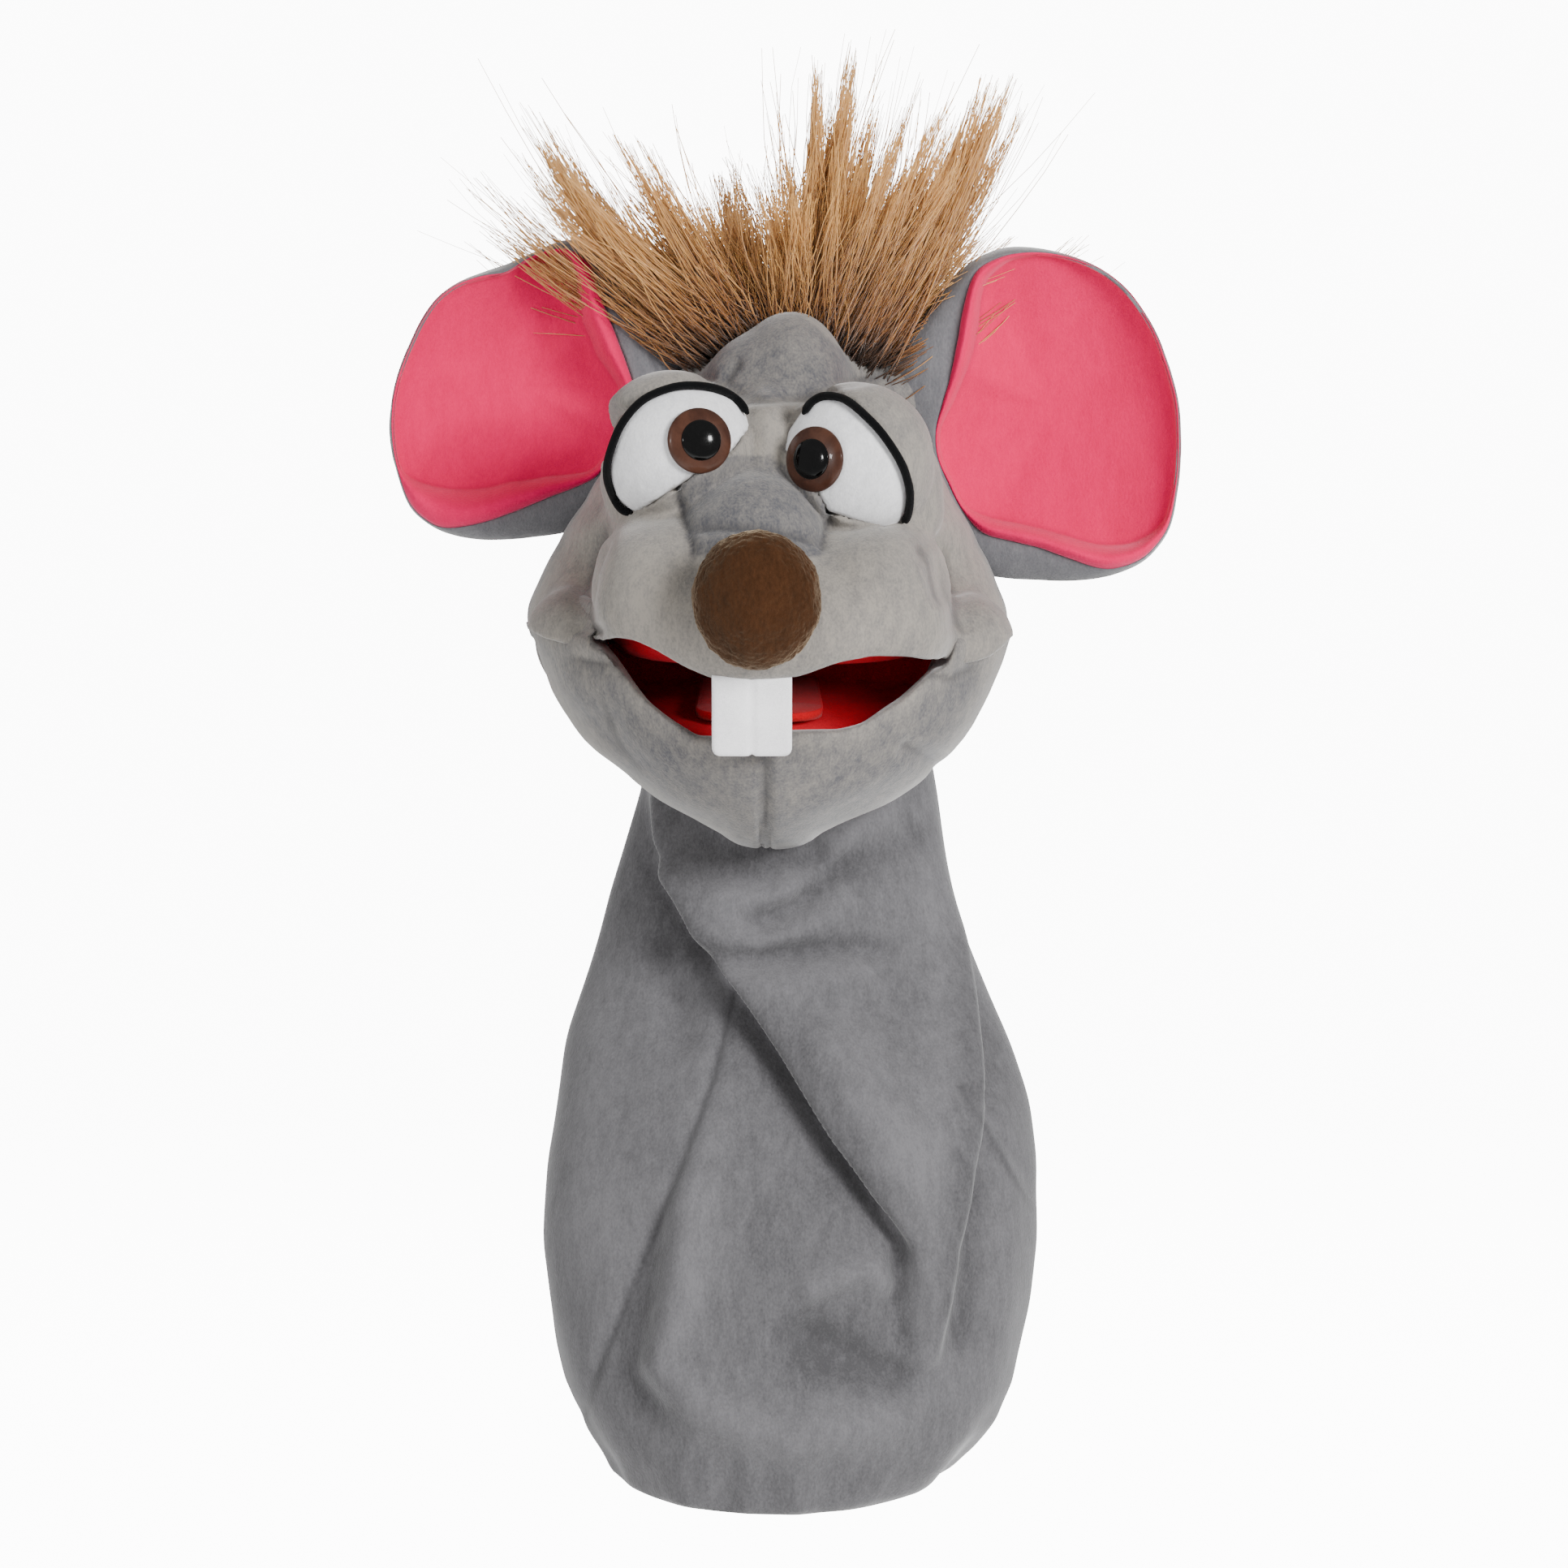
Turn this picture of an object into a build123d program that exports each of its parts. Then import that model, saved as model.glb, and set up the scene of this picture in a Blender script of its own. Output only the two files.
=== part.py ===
"""Rat sock puppet: a sleeve for the forearm, a padded head for the fingers and a jaw for the thumb.

Millimetres. +Z is up, the face looks along -Y and +X is the puppet's own left.
The origin is the centre of the round cuff at the sleeve's lower end, where the arm goes in.
The jaw is drawn closed, then turned about its hinge to the slightly open mouth of the rest pose.
"""

import os

from build123d import *
from math import cos, radians, sin, sqrt, tan

# Fabric and filling thicknesses
PLUSH = 3.0
FELT = 1.5
BOARD = 2.0
LINING = 1.0
GAP = 0.3

# Cuff and sleeve
CUFF_R = 45.0
CUFF_LENGTH = 14.0
ELASTIC = 2.0
SLEEVE_TOP = 149.7
SLEEVE_X = 4.0
# Ellipses up the sleeve: height, centre y, half width, half depth
SLEEVE_RINGS = [(14, 0, 52, 52), (27, 2, 66, 54), (50, 4, 71.5, 55), (85, 7, 73.5, 53), (120, 15, 67.5, 44),
                (150, 29, 57, 31)]
# The front gore is as wide at each end as these half widths about its centre line
GORE_BOTTOM = (-5.0, 52.0)
GORE_TOP = (0.0, 14.0)

# Neck
NECK_Y = 34.0
NECK_BOTTOM = (150.0, 54.0, 28.0)
NECK_TOP = (216.0, 46.0, 24.0)
NOD_Z = 218.0

# Head: an upper half egg on the lip plane
LIP_Z = 250.0
HEAD_C = (0.0, 10.0, LIP_Z)
HEAD_R = (70.0, 58.0, 102.0)
NAPE_BOTTOM = 221.0
NAPE_FRONT = 12.0
NAPE_HALF = (53.0, 32.0)
FOREHEAD_Y = -6.0
SNOUT_C = (0.0, -38.0, 264.0)
SNOUT_R = (55.0, 52.0, 34.0)
BRIDGE_HALF = 18.0
BRIDGE_Z = 276.0

# Hand room in the head
FINGER_HALF = 40.0
FINGER_FRONT = -68.0
FINGER_Z = (256.0, 282.0)
PASSAGE_HALF = (44.0, 22.0)

# Mouth, with the jaw closed
HINGE_Y = 8.0
MOUTH_OPEN = 12.0
JAW_C = (0.0, -5.0, LIP_Z - GAP)
JAW_R = (70.0, 70.0, 52.0)
JAW_REAR = 48.0
MOUTH_HALF = 47.0
MOUTH_FRONT = -66.0
UPPER_PALATE_Z = 252.5
LOWER_PALATE_Z = 246.0
THUMB_HALF = 16.0
THUMB_DEEP = 22.0
TONGUE_HALF = 17.0
TONGUE_FRONT = -48.0
TONGUE_REAR = -12.0
TONGUE = 4.0

# Teeth
TEETH_X = -5.3
TEETH_WIDTH = 23.4
TEETH_LENGTH = 18.2
TEETH_Y = -82.2
TEETH_THICK = 3.5

# Nose
NOSE_C = (-3.6, -88.0, 276.0)
NOSE_R = (18.0, 12.0, 20.0)

# Eyes: centre, ball radius and where the plastic eye sits on the ball
EYES = {
    "right": ((-27.3, -38.4, 315.3), 20.5, (6.0, -19.0, 5.0)),
    "left": ((24.5, -38.0, 311.0), 20.5, (-11.3, -16.5, 3.0)),
}
LID_R = 24.5
LID_FRONT = -45.0
IRIS_R = 9.3
PUPIL_R = 5.8
IRIS_SEAT = 19.0
SHANK_R = 2.0
WASHER_R = 6.5
LINER_R = 1.4

# Ears: plan centre (x, z), plan half sizes, and the angle up the head's outline where each is sewn
EARS = {
    "right": (-1, (76.0, 330.0), (37.5, 44.0), 38.0),
    "left": (1, (82.5, 322.0), (38.5, 49.0), 33.0),
}
EAR_Y = 14.0
EAR_CUP_R = 73.0
EAR_OFF = 2.5

# Hair: base x and tip of each tuft, for the front and the back row
HAIR_ROWS = [
    (22.0, 5.5, [(-34, (-73, 34, 410)), (-23, (-44, 36, 404)), (-11.5, (-17, 38, 396)), (0, (0, 40, 400)),
                 (11.5, (19, 36, 431)), (23, (35, 36, 416)), (34, (70, 34, 423))]),
    (43.0, 6.5, [(-24, (-42, 74, 392)), (-8, (-14, 78, 398)), (8, (13, 78, 402)), (24, (40, 74, 395))]),
]
HAIR_PATCH = 2.0

BIG = 400.0


def save(name, shape):
    """Writes one node's solids."""
    solids = shape.solids() if hasattr(shape, "solids") else shape
    export_step(solids[0] if len(solids) == 1 else Compound(children=list(solids)), f"parts/{name}.step")


def ellipsoid(centre, radii, grow=0.0):
    """An ellipsoid whose radii are all larger by grow."""
    return Pos(*centre) * scale(Sphere(1), by=tuple(r + grow for r in radii))


def block(x=(-BIG, BIG), y=(-BIG, BIG), z=(-BIG, BIG)):
    """A box from its limits along each axis."""
    size = [high - low for low, high in (x, y, z)]
    middle = [(high + low) / 2 for low, high in (x, y, z)]
    return Pos(*middle) * Box(*size)


def head_egg(grow=0.0):
    """The head's outer shape, drawn afresh each time it is used."""
    return ellipsoid(HEAD_C, HEAD_R, grow)


def snout_egg(grow=0.0):
    """The snout's outer shape, drawn afresh each time it is used."""
    return ellipsoid(SNOUT_C, SNOUT_R, grow)


def tube(rings, grow=0.0, ends=0.0):
    """A smooth loft through ellipses, each (height, centre x, centre y, half width, half depth)."""
    faces = []
    for i, (z, x, y, a, b) in enumerate(rings):
        z += {0: -ends, len(rings) - 1: ends}.get(i, 0.0)
        faces.append(Pos(x, y, z) * Ellipse(a + grow, b + grow))
    return loft(faces)


def mouth_plan(half, front, rear):
    """A D-shaped face: a straight rear edge, straight sides and a half-ellipse front."""
    depth = (rear - front) * 0.72
    side = front + depth
    outline = Line((half, side), (half, rear))
    outline += Line((half, rear), (-half, rear))
    outline += Line((-half, rear), (-half, side))
    outline += EllipticalCenterArc((0, side), half, depth, start_angle=180, arc_size=180)
    return make_face(outline)


def slab(plan, z):
    """A flat plate of a plan between two heights."""
    return Pos(0, 0, z[0]) * extrude(plan, z[1] - z[0])


def turned_open(shape):
    """A piece of the closed jaw, moved to the mouth's rest opening."""
    hinge = Axis((0, HINGE_Y, LIP_Z), (1, 0, 0))
    return shape.rotate(hinge, MOUTH_OPEN)


def make_sleeve():
    """The cuff's three layers and the three velour panels of the sleeve."""
    for name, inner, outer in (
        ("hem_facing", CUFF_R, CUFF_R + 2),
        ("cuff_elastic", CUFF_R + 2, CUFF_R + 2 + ELASTIC),
        ("hem_band", CUFF_R + 2 + ELASTIC, CUFF_R + 4 + PLUSH),
    ):
        ring = Cylinder(outer, CUFF_LENGTH) - Cylinder(inner, CUFF_LENGTH)
        save(name, Pos(0, 0, CUFF_LENGTH / 2) * ring)
    rings = [(z, SLEEVE_X * min(1, (z - CUFF_LENGTH) / 30), y, a, b) for z, y, a, b in SLEEVE_RINGS]
    rings[-1] = (SLEEVE_TOP, *rings[-1][1:])
    skin = tube(rings) - tube(rings, -PLUSH, ends=0.5)
    (x0, half0), (x1, half1) = GORE_BOTTOM, GORE_TOP
    gore_plan = Polyline(
        (x0 - half0, CUFF_LENGTH - 1), (x0 + half0, CUFF_LENGTH - 1),
        (x1 + half1, SLEEVE_TOP + 1), (x1 - half1, SLEEVE_TOP + 1), close=True,
    )
    gore_cut = extrude(Plane.XZ * make_face(gore_plan), BIG / 2)
    save("sleeve_front_gore", skin & gore_cut)
    rest = skin - gore_cut
    save("sleeve_right_panel", rest & block(x=(-BIG, SLEEVE_X)))
    save("sleeve_left_panel", rest & block(x=(SLEEVE_X, BIG)))


def make_neck():
    """The narrow top of the sleeve, which turns with the wrist."""
    rings = [(z, 0, NECK_Y, a, b) for z, a, b in (NECK_BOTTOM, NECK_TOP)]
    save("neck_tube", tube(rings) - tube(rings, -PLUSH, ends=0.5))


def finger_room(shrink=0.0):
    """The flat room that four fingers fill, open to the wrist at the rear."""
    half, front = FINGER_HALF - shrink, FINGER_FRONT + shrink
    low, high = FINGER_Z[0] + shrink, FINGER_Z[1] - shrink
    plan = Pos(0, (front + NECK_Y) / 2) * Rectangle(2 * half, NECK_Y - front)
    plan = fillet(plan.vertices().sort_by(Axis.Y)[:2], half * 0.8)
    return slab(plan, (low, high))


def lip_plan():
    """The underside of the head inside its covers, less the way in for the hand."""
    plan = Pos(*HEAD_C[:2]) * Ellipse(HEAD_R[0] - PLUSH - 0.3, HEAD_R[1] - PLUSH - 0.3)
    share = sqrt(1 - ((SNOUT_C[2] - LIP_Z) / (SNOUT_R[2] - PLUSH)) ** 2)
    half = [(r - PLUSH) * share - 0.3 for r in SNOUT_R[:2]]
    plan += Pos(*SNOUT_C[:2]) * Ellipse(*half)
    return plan - Pos(0, NECK_Y) * Ellipse(*PASSAGE_HALF)


def wrist_room():
    """The way up from the neck into the finger room."""
    return slab(Pos(0, NECK_Y) * Ellipse(*PASSAGE_HALF), (NAPE_BOTTOM - 5, FINGER_Z[1]))


def make_head():
    """Head and snout covers cut into their sewn panels, their stuffing, the palate and the finger pocket."""
    egg, egg_inside = head_egg(), head_egg(-PLUSH)
    muzzle, muzzle_inside = snout_egg(), snout_egg(-PLUSH)
    above = block(z=(LIP_Z, BIG))

    skin = (egg - egg_inside) & above
    front = block(y=(-BIG, FOREHEAD_Y))
    forehead_z = 306.0
    forehead = skin & front & block(z=(forehead_z, BIG))
    save("forehead_cover", forehead)
    cheeks = (skin & front & block(z=(LIP_Z, forehead_z))) - muzzle
    rear = skin & block(y=(FOREHEAD_Y, BIG))
    for side, x in (("right", (-BIG, 0)), ("left", (0, BIG))):
        save(f"cheek_cover_{side}", cheeks & block(x=x))
        save(f"back_cover_{side}", rear & block(x=x))

    nape = [(NAPE_BOTTOM, 0, NECK_Y, *NAPE_HALF), (LIP_Z - GAP, 0, HEAD_C[1], *HEAD_R[:2])]
    save("nape_cover", (tube(nape) - tube(nape, -PLUSH, ends=0.5)) & block(y=(NAPE_FRONT, BIG)))

    snout_skin = ((muzzle - muzzle_inside) & above) - egg
    bridge = block(x=(-BRIDGE_HALF, BRIDGE_HALF), z=(BRIDGE_Z, BIG))
    save("snout_bridge", snout_skin & bridge)
    sides = snout_skin - bridge
    save("muzzle_right", sides & block(x=(-BIG, 0)))
    save("muzzle_left", sides & block(x=(0, BIG)))

    palate_plan = mouth_plan(MOUTH_HALF + 2, MOUTH_FRONT - 3, 4)
    board_plan = mouth_plan(MOUTH_HALF, MOUTH_FRONT, 4)
    palate_top = UPPER_PALATE_Z + FELT
    save("upper_palate", slab(palate_plan, (UPPER_PALATE_Z, palate_top)))
    save("upper_mouth_board", slab(board_plan, (palate_top, palate_top + BOARD)))
    save("lip_facing_upper", slab(lip_plan() - palate_plan, (LIP_Z, LIP_Z + LINING)))

    pocket = finger_room() - finger_room(LINING)
    save("finger_pocket", pocket & block(y=(-BIG, NECK_Y - PASSAGE_HALF[1])))

    hollow = [finger_room(), wrist_room(), slab(palate_plan, (LIP_Z - 1, palate_top + BOARD))]
    lined = block(z=(LIP_Z + LINING, BIG))
    head_fill, snout_fill = egg_inside & lined, (muzzle_inside & lined) - egg
    for room in hollow:
        head_fill -= room
        snout_fill -= room
    save("head_stuffing", head_fill.solids().sort_by(SortBy.VOLUME)[-1])
    save("snout_stuffing", snout_fill.solids().sort_by(SortBy.VOLUME)[-1])


def make_nose():
    """The round nose: a velour cover over its filling, sewn on the snout."""
    ball, inside = ellipsoid(NOSE_C, NOSE_R), ellipsoid(NOSE_C, NOSE_R, -2)
    save("nose_cover", ball - inside - snout_egg())
    save("nose_stuffing", inside - snout_egg())


def on_eye(centre, aim):
    """The frame on an eyeball whose +Z points out through its plastic eye."""
    return Plane(origin=centre, z_dir=aim)


def make_eye(side, centre, ball_r, aim):
    """One stuffed eye white, its padded lid, its cord liner and its plastic eye held by a lock washer."""
    frame = on_eye(centre, aim)
    ball, inside = frame * Sphere(ball_r), frame * Sphere(ball_r - PLUSH)
    seat = frame * Pos(0, 0, IRIS_SEAT + 5) * Cylinder(IRIS_R + 0.3, 10)
    shank_hole = frame * Pos(0, 0, 13) * Cylinder(SHANK_R, 14)
    washer_z = 15.2
    washer_disc = frame * Pos(0, 0, washer_z) * Cylinder(WASHER_R, 1.5)

    white = (ball - head_egg()) - snout_egg()
    save(f"eye_white_{side}", white - inside - seat - shank_hole)
    save(f"eye_stuffing_{side}", (inside - head_egg() - snout_egg()) - shank_hole - washer_disc)
    save(f"eye_washer_{side}", washer_disc - shank_hole)

    iris_dome, pupil_dome = 4.2, 5.0
    outline = Polyline((0, IRIS_SEAT), (IRIS_R, IRIS_SEAT), (IRIS_R, IRIS_SEAT + 1))
    outline += ThreePointArc((IRIS_R, IRIS_SEAT + 1), (6.2, IRIS_SEAT + 2.6), (PUPIL_R, IRIS_SEAT + 2.8))
    pupil_seat = IRIS_SEAT + 1.6
    outline += Polyline((PUPIL_R, IRIS_SEAT + 2.8), (PUPIL_R, pupil_seat), (0, pupil_seat), (0, IRIS_SEAT))
    iris = revolve(Plane.XZ * make_face(outline), Axis.Z)
    shank = Pos(0, 0, 13) * Cylinder(SHANK_R, 12)
    iris = iris.fuse(shank)
    save(f"iris_{side}", frame * iris)
    crown = IRIS_SEAT + pupil_dome
    cap = Polyline((PUPIL_R, IRIS_SEAT + 2.8), (PUPIL_R, pupil_seat), (0, pupil_seat), (0, crown))
    cap += ThreePointArc((0, crown), (3.4, IRIS_SEAT + iris_dome), (PUPIL_R, IRIS_SEAT + 2.8))
    save(f"pupil_{side}", frame * revolve(Plane.XZ * make_face(cap), Axis.Z))

    out_x = (-BIG, -1.5) if centre[0] < 0 else (-1.5, BIG)
    lid = (Pos(*centre) * Sphere(LID_R)) - (Pos(*centre) * Sphere(ball_r + 0.05))
    lid = lid & block(x=out_x, y=(LID_FRONT, BIG), z=(centre[2] - 6, BIG))
    lid = (lid - head_egg() - snout_egg()).solids().sort_by(SortBy.VOLUME)[-1]
    save(f"eyelid_{side}", lid)

    ring_y = LID_FRONT - LINER_R - 0.1
    ring_r = sqrt(ball_r**2 - (ring_y - centre[1]) ** 2) + LINER_R + 0.3
    ring = Pos(centre[0], ring_y, centre[2]) * Rot(90, 0, 0) * Torus(ring_r, LINER_R)
    inner_x = centre[0] + ball_r * (0.62 if centre[0] < 0 else -0.62)
    x = (-BIG, inner_x) if centre[0] < 0 else (inner_x, BIG)
    liner = ring & block(x=x, z=(centre[2] - 10, BIG))
    save(f"eye_liner_{side}", liner.solids().sort_by(SortBy.VOLUME)[-1])


def make_ear(side, sign, plan, half, up):
    """One cupped ear, made of a pink lining, a pad and a grey back, cut straight where it is sewn on."""
    up = radians(up)
    foot = (sign * HEAD_R[0] * cos(up), LIP_Z + HEAD_R[2] * sin(up))
    run = (-sign * HEAD_R[0] * sin(up), HEAD_R[2] * cos(up))
    length = sqrt(run[0] ** 2 + run[1] ** 2)
    run = (run[0] / length, run[1] / length)
    out = (sign * run[1], -sign * run[0])
    foot = tuple(f + EAR_OFF * o for f, o in zip(foot, out))

    outline = Pos(sign * plan[0], plan[1]) * Ellipse(*half)
    reach = 90.0
    corners = [
        (foot[0] + a * reach * run[0] + b * reach * out[0], foot[1] + a * reach * run[1] + b * reach * out[1])
        for a, b in ((-1, 0), (1, 0), (1, 1), (-1, 1))
    ]
    outline &= make_face(Polyline(*corners, close=True))
    prism = Plane.XZ * extrude(outline, 80, both=True)
    cup = (sign * plan[0], EAR_Y - EAR_CUP_R, plan[1])
    for name, inner, outer in (
        (f"ear_lining_{side}", -4.0, -2.0),
        (f"ear_pad_{side}", -2.0, 2.0),
        (f"ear_back_{side}", 2.0, 4.0),
    ):
        layer = (Pos(*cup) * Sphere(EAR_CUP_R + outer)) - (Pos(*cup) * Sphere(EAR_CUP_R + inner))
        layer = layer & prism & block(y=(cup[1], BIG))
        save(name, layer)
    off = (foot[0] - sign * plan[0]) * out[0] + (foot[1] - plan[1]) * out[1]
    hinge_y = EAR_Y - EAR_CUP_R + sqrt(EAR_CUP_R**2 - off**2)


def make_hair():
    """A backing patch on the crown and the fur's tufts standing on it."""
    patch = head_egg(HAIR_PATCH) - head_egg()
    save("hair_backing", patch & block(x=(-42, 42), y=(12, 56), z=(300, BIG)))
    tufts = []
    for base_y, base_r, row in HAIR_ROWS:
        for base_x, tip in row:
            share = 1 - (base_x / HEAD_R[0]) ** 2 - ((base_y - HEAD_C[1]) / HEAD_R[1]) ** 2
            base = Vector(base_x, base_y, LIP_Z + HEAD_R[2] * sqrt(share) - 4)
            way = Vector(*tip) - base
            stand = (Align.CENTER, Align.CENTER, Align.MIN)
            cone = Plane(origin=base, z_dir=way) * Cone(base_r, 0.6, way.length, align=stand)
            tufts += (cone - head_egg(HAIR_PATCH)).solids()
    save("hair_tufts", tufts)


def make_teeth():
    """Two front teeth cut as one piece of doubled felt."""
    top = LIP_Z - 1
    teeth = block(
        x=(TEETH_X - TEETH_WIDTH / 2, TEETH_X + TEETH_WIDTH / 2),
        y=(TEETH_Y, TEETH_Y + TEETH_THICK),
        z=(top - TEETH_LENGTH, top),
    )
    low_edges = teeth.edges().filter_by(Axis.Y).sort_by(Axis.Z)[:2]
    save("teeth", fillet(low_edges, 2.5))


def make_jaw():
    """The jaw's two cover halves, its stuffing, floor, stiffener, thumb pocket and tongue."""
    bowl, inside = ellipsoid(JAW_C, JAW_R), ellipsoid(JAW_C, JAW_R, -PLUSH)
    wedge_top, wedge_y = LIP_Z - GAP, HINGE_Y - 2
    slope = Pos(0, wedge_y, wedge_top) * Rot(-JAW_REAR, 0, 0)
    below = (slope * block(y=(-BIG, 0))) & block(z=(-BIG, wedge_top))
    lined = (slope * block(y=(-BIG, -LINING))) & block(z=(-BIG, wedge_top - LINING))
    skin = (bowl - inside) & below
    save("jaw_cover_right", turned_open(skin & block(x=(-BIG, 0))))
    save("jaw_cover_left", turned_open(skin & block(x=(0, BIG))))

    floor_low = LOWER_PALATE_Z - FELT
    board_low = floor_low - BOARD
    rear = wedge_y - (wedge_top - board_low) * tan(radians(JAW_REAR)) - 2
    palate_plan = mouth_plan(MOUTH_HALF + 2, MOUTH_FRONT - 2, rear)
    save("lower_palate", turned_open(slab(palate_plan, (floor_low, LOWER_PALATE_Z))))
    board_plan = mouth_plan(MOUTH_HALF, MOUTH_FRONT, rear)
    save("lower_mouth_board", turned_open(slab(board_plan, (board_low, floor_low))))

    thumb_front = -50.0
    room = block(x=(-THUMB_HALF, THUMB_HALF), y=(thumb_front, HINGE_Y), z=(board_low - THUMB_DEEP, board_low))
    room = fillet(room.edges().filter_by(Axis.Z).sort_by(Axis.Y)[:2], 12)
    hollow = block(
        x=(-THUMB_HALF + LINING, THUMB_HALF - LINING),
        y=(thumb_front + LINING, HINGE_Y + 1),
        z=(board_low - THUMB_DEEP + LINING, board_low - LINING),
    )
    hollow = fillet(hollow.edges().filter_by(Axis.Z).sort_by(Axis.Y)[:2], 11)
    save("thumb_pocket", turned_open((room - hollow) & below))
    over_palate = slab(palate_plan, (board_low, LIP_Z + 1))
    fill = (inside & lined) - room - over_palate
    save("jaw_stuffing", turned_open(fill.solids().sort_by(SortBy.VOLUME)[-1]))
    facing = (inside & below) & block(z=(wedge_top - LINING, wedge_top))
    save("lip_facing_lower", turned_open(facing - over_palate))
    throat = (inside & below) & (slope * block(y=(-LINING, 0))) & block(z=(-BIG, wedge_top - LINING))
    save("throat_lining", turned_open(throat - room))

    tongue_low = LOWER_PALATE_Z + GAP
    tongue = slab(mouth_plan(TONGUE_HALF, TONGUE_FRONT, TONGUE_REAR), (tongue_low, tongue_low + TONGUE))
    save("tongue", turned_open(tongue))


def main():
    os.makedirs("parts", exist_ok=True)
    make_sleeve()
    make_neck()
    make_head()
    make_nose()
    for side, (centre, ball_r, aim) in EYES.items():
        make_eye(side, centre, ball_r, aim)
    for side, (sign, plan, half, up) in EARS.items():
        make_ear(side, sign, plan, half, up)
    make_hair()
    make_teeth()
    make_jaw()


main()
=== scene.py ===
import math
import bmesh
import bpy
import numpy as np
from mathutils import Matrix, Vector


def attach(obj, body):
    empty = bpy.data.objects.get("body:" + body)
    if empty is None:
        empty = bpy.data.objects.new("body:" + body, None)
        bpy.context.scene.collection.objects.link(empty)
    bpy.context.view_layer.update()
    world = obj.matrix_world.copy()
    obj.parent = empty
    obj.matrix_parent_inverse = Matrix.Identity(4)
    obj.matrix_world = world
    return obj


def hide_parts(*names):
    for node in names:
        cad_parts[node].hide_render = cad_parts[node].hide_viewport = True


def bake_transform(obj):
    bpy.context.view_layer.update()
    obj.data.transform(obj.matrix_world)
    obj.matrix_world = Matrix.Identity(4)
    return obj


bl_info = {
    "name": "Rat hand puppet",
    "version": (1, 0, 0),
    "blender": (4, 5, 0),
    "location": "View3D > Sidebar > Puppet",
    "description": "Sews the velour skins, ears, eyes, mouth and hair onto the packed puppet",
    "category": "Object",
}

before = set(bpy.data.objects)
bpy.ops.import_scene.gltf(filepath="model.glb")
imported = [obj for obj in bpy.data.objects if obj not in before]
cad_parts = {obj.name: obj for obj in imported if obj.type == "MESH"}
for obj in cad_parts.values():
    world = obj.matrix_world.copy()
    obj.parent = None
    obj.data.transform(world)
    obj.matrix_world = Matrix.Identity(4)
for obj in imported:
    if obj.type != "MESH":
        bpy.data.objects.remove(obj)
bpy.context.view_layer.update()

# All the tables below are in millimetres. "Across, up" pairs are places seen from VIEW_POINT,
# measured on the upright plane through the aim point.
AIM = np.array((3.84, -20.0, 215.0))
REACH = 1300.0
TILT = math.radians(8)
VIEW_POINT = AIM + REACH * np.array((0, -math.cos(TILT), math.sin(TILT)))
UP_SHIFT = 212.16
VIEW_WIDTH = 463.68
SENSOR = 36

# height, left edge, right edge, centre y, half depth
SLEEVE_RINGS = [
    (235, -37, 47, 34, 22), (216, -37.5, 50, 34, 24.5), (208, -38.6, 51.2, 33.5, 25.5),
    (175, -48.5, 55.6, 30, 30), (165, -51, 58.5, 28.5, 32), (149, -55.2, 63.8, 25, 36),
    (132, -60.2, 69.5, 19.5, 41),
    (113, -63.8, 74.6, 14, 46), (96, -67, 77, 10, 50), (72, -68.2, 77.4, 6, 53), (52, -66.8, 75.2, 3.5, 55),
    (41, -65, 73.2, 2.5, 55.5), (28, -61, 71, 1.5, 55.5), (19, -56.5, 67.5, 1, 55.5),
    (10, -52, 61.5, .5, 55),
    (4, -49.5, 56, .2, 54), (1.4, -48, 52, 0, 52), (0.7, -46.8, 48.6, 0, 49), (0.8, -45.4, 45.8, 0, 45.6),
    (3.2, -44.9, 45.1, 0, 45), (7.5, -44.9, 45.1, 0, 45)]
FLAP_LEFT = [(207.6, -38.4), (184.8, -33.6), (164.4, -21.6), (153.6, -12), (132, 2.4), (108, 16.8),
             (88.8, 30), (76.8, 38.4), (60, 40), (30, 40)]
FLAP_RIGHT = [(216, 50.4), (170.4, 56.4), (124.8, 56.9), (88.8, 55.2), (60, 51.6), (38.4, 46.8), (34, 43.2)]
FLAP_RISE = [(230, 3), (207, 7), (185, 11), (110, 12), (95, 10.5), (80, 8), (60, 5), (35, 0), (0, 0)]
GORE_SEAM = [(-10.8, 150), (-16.8, 124.8), (-26.4, 98.4), (-42, 60), (-51.6, 36), (-56.4, 19.2)]
SIDE_SEAM = [(56.9, 122.4), (67, 104), (77.3, 86.4)]

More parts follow.
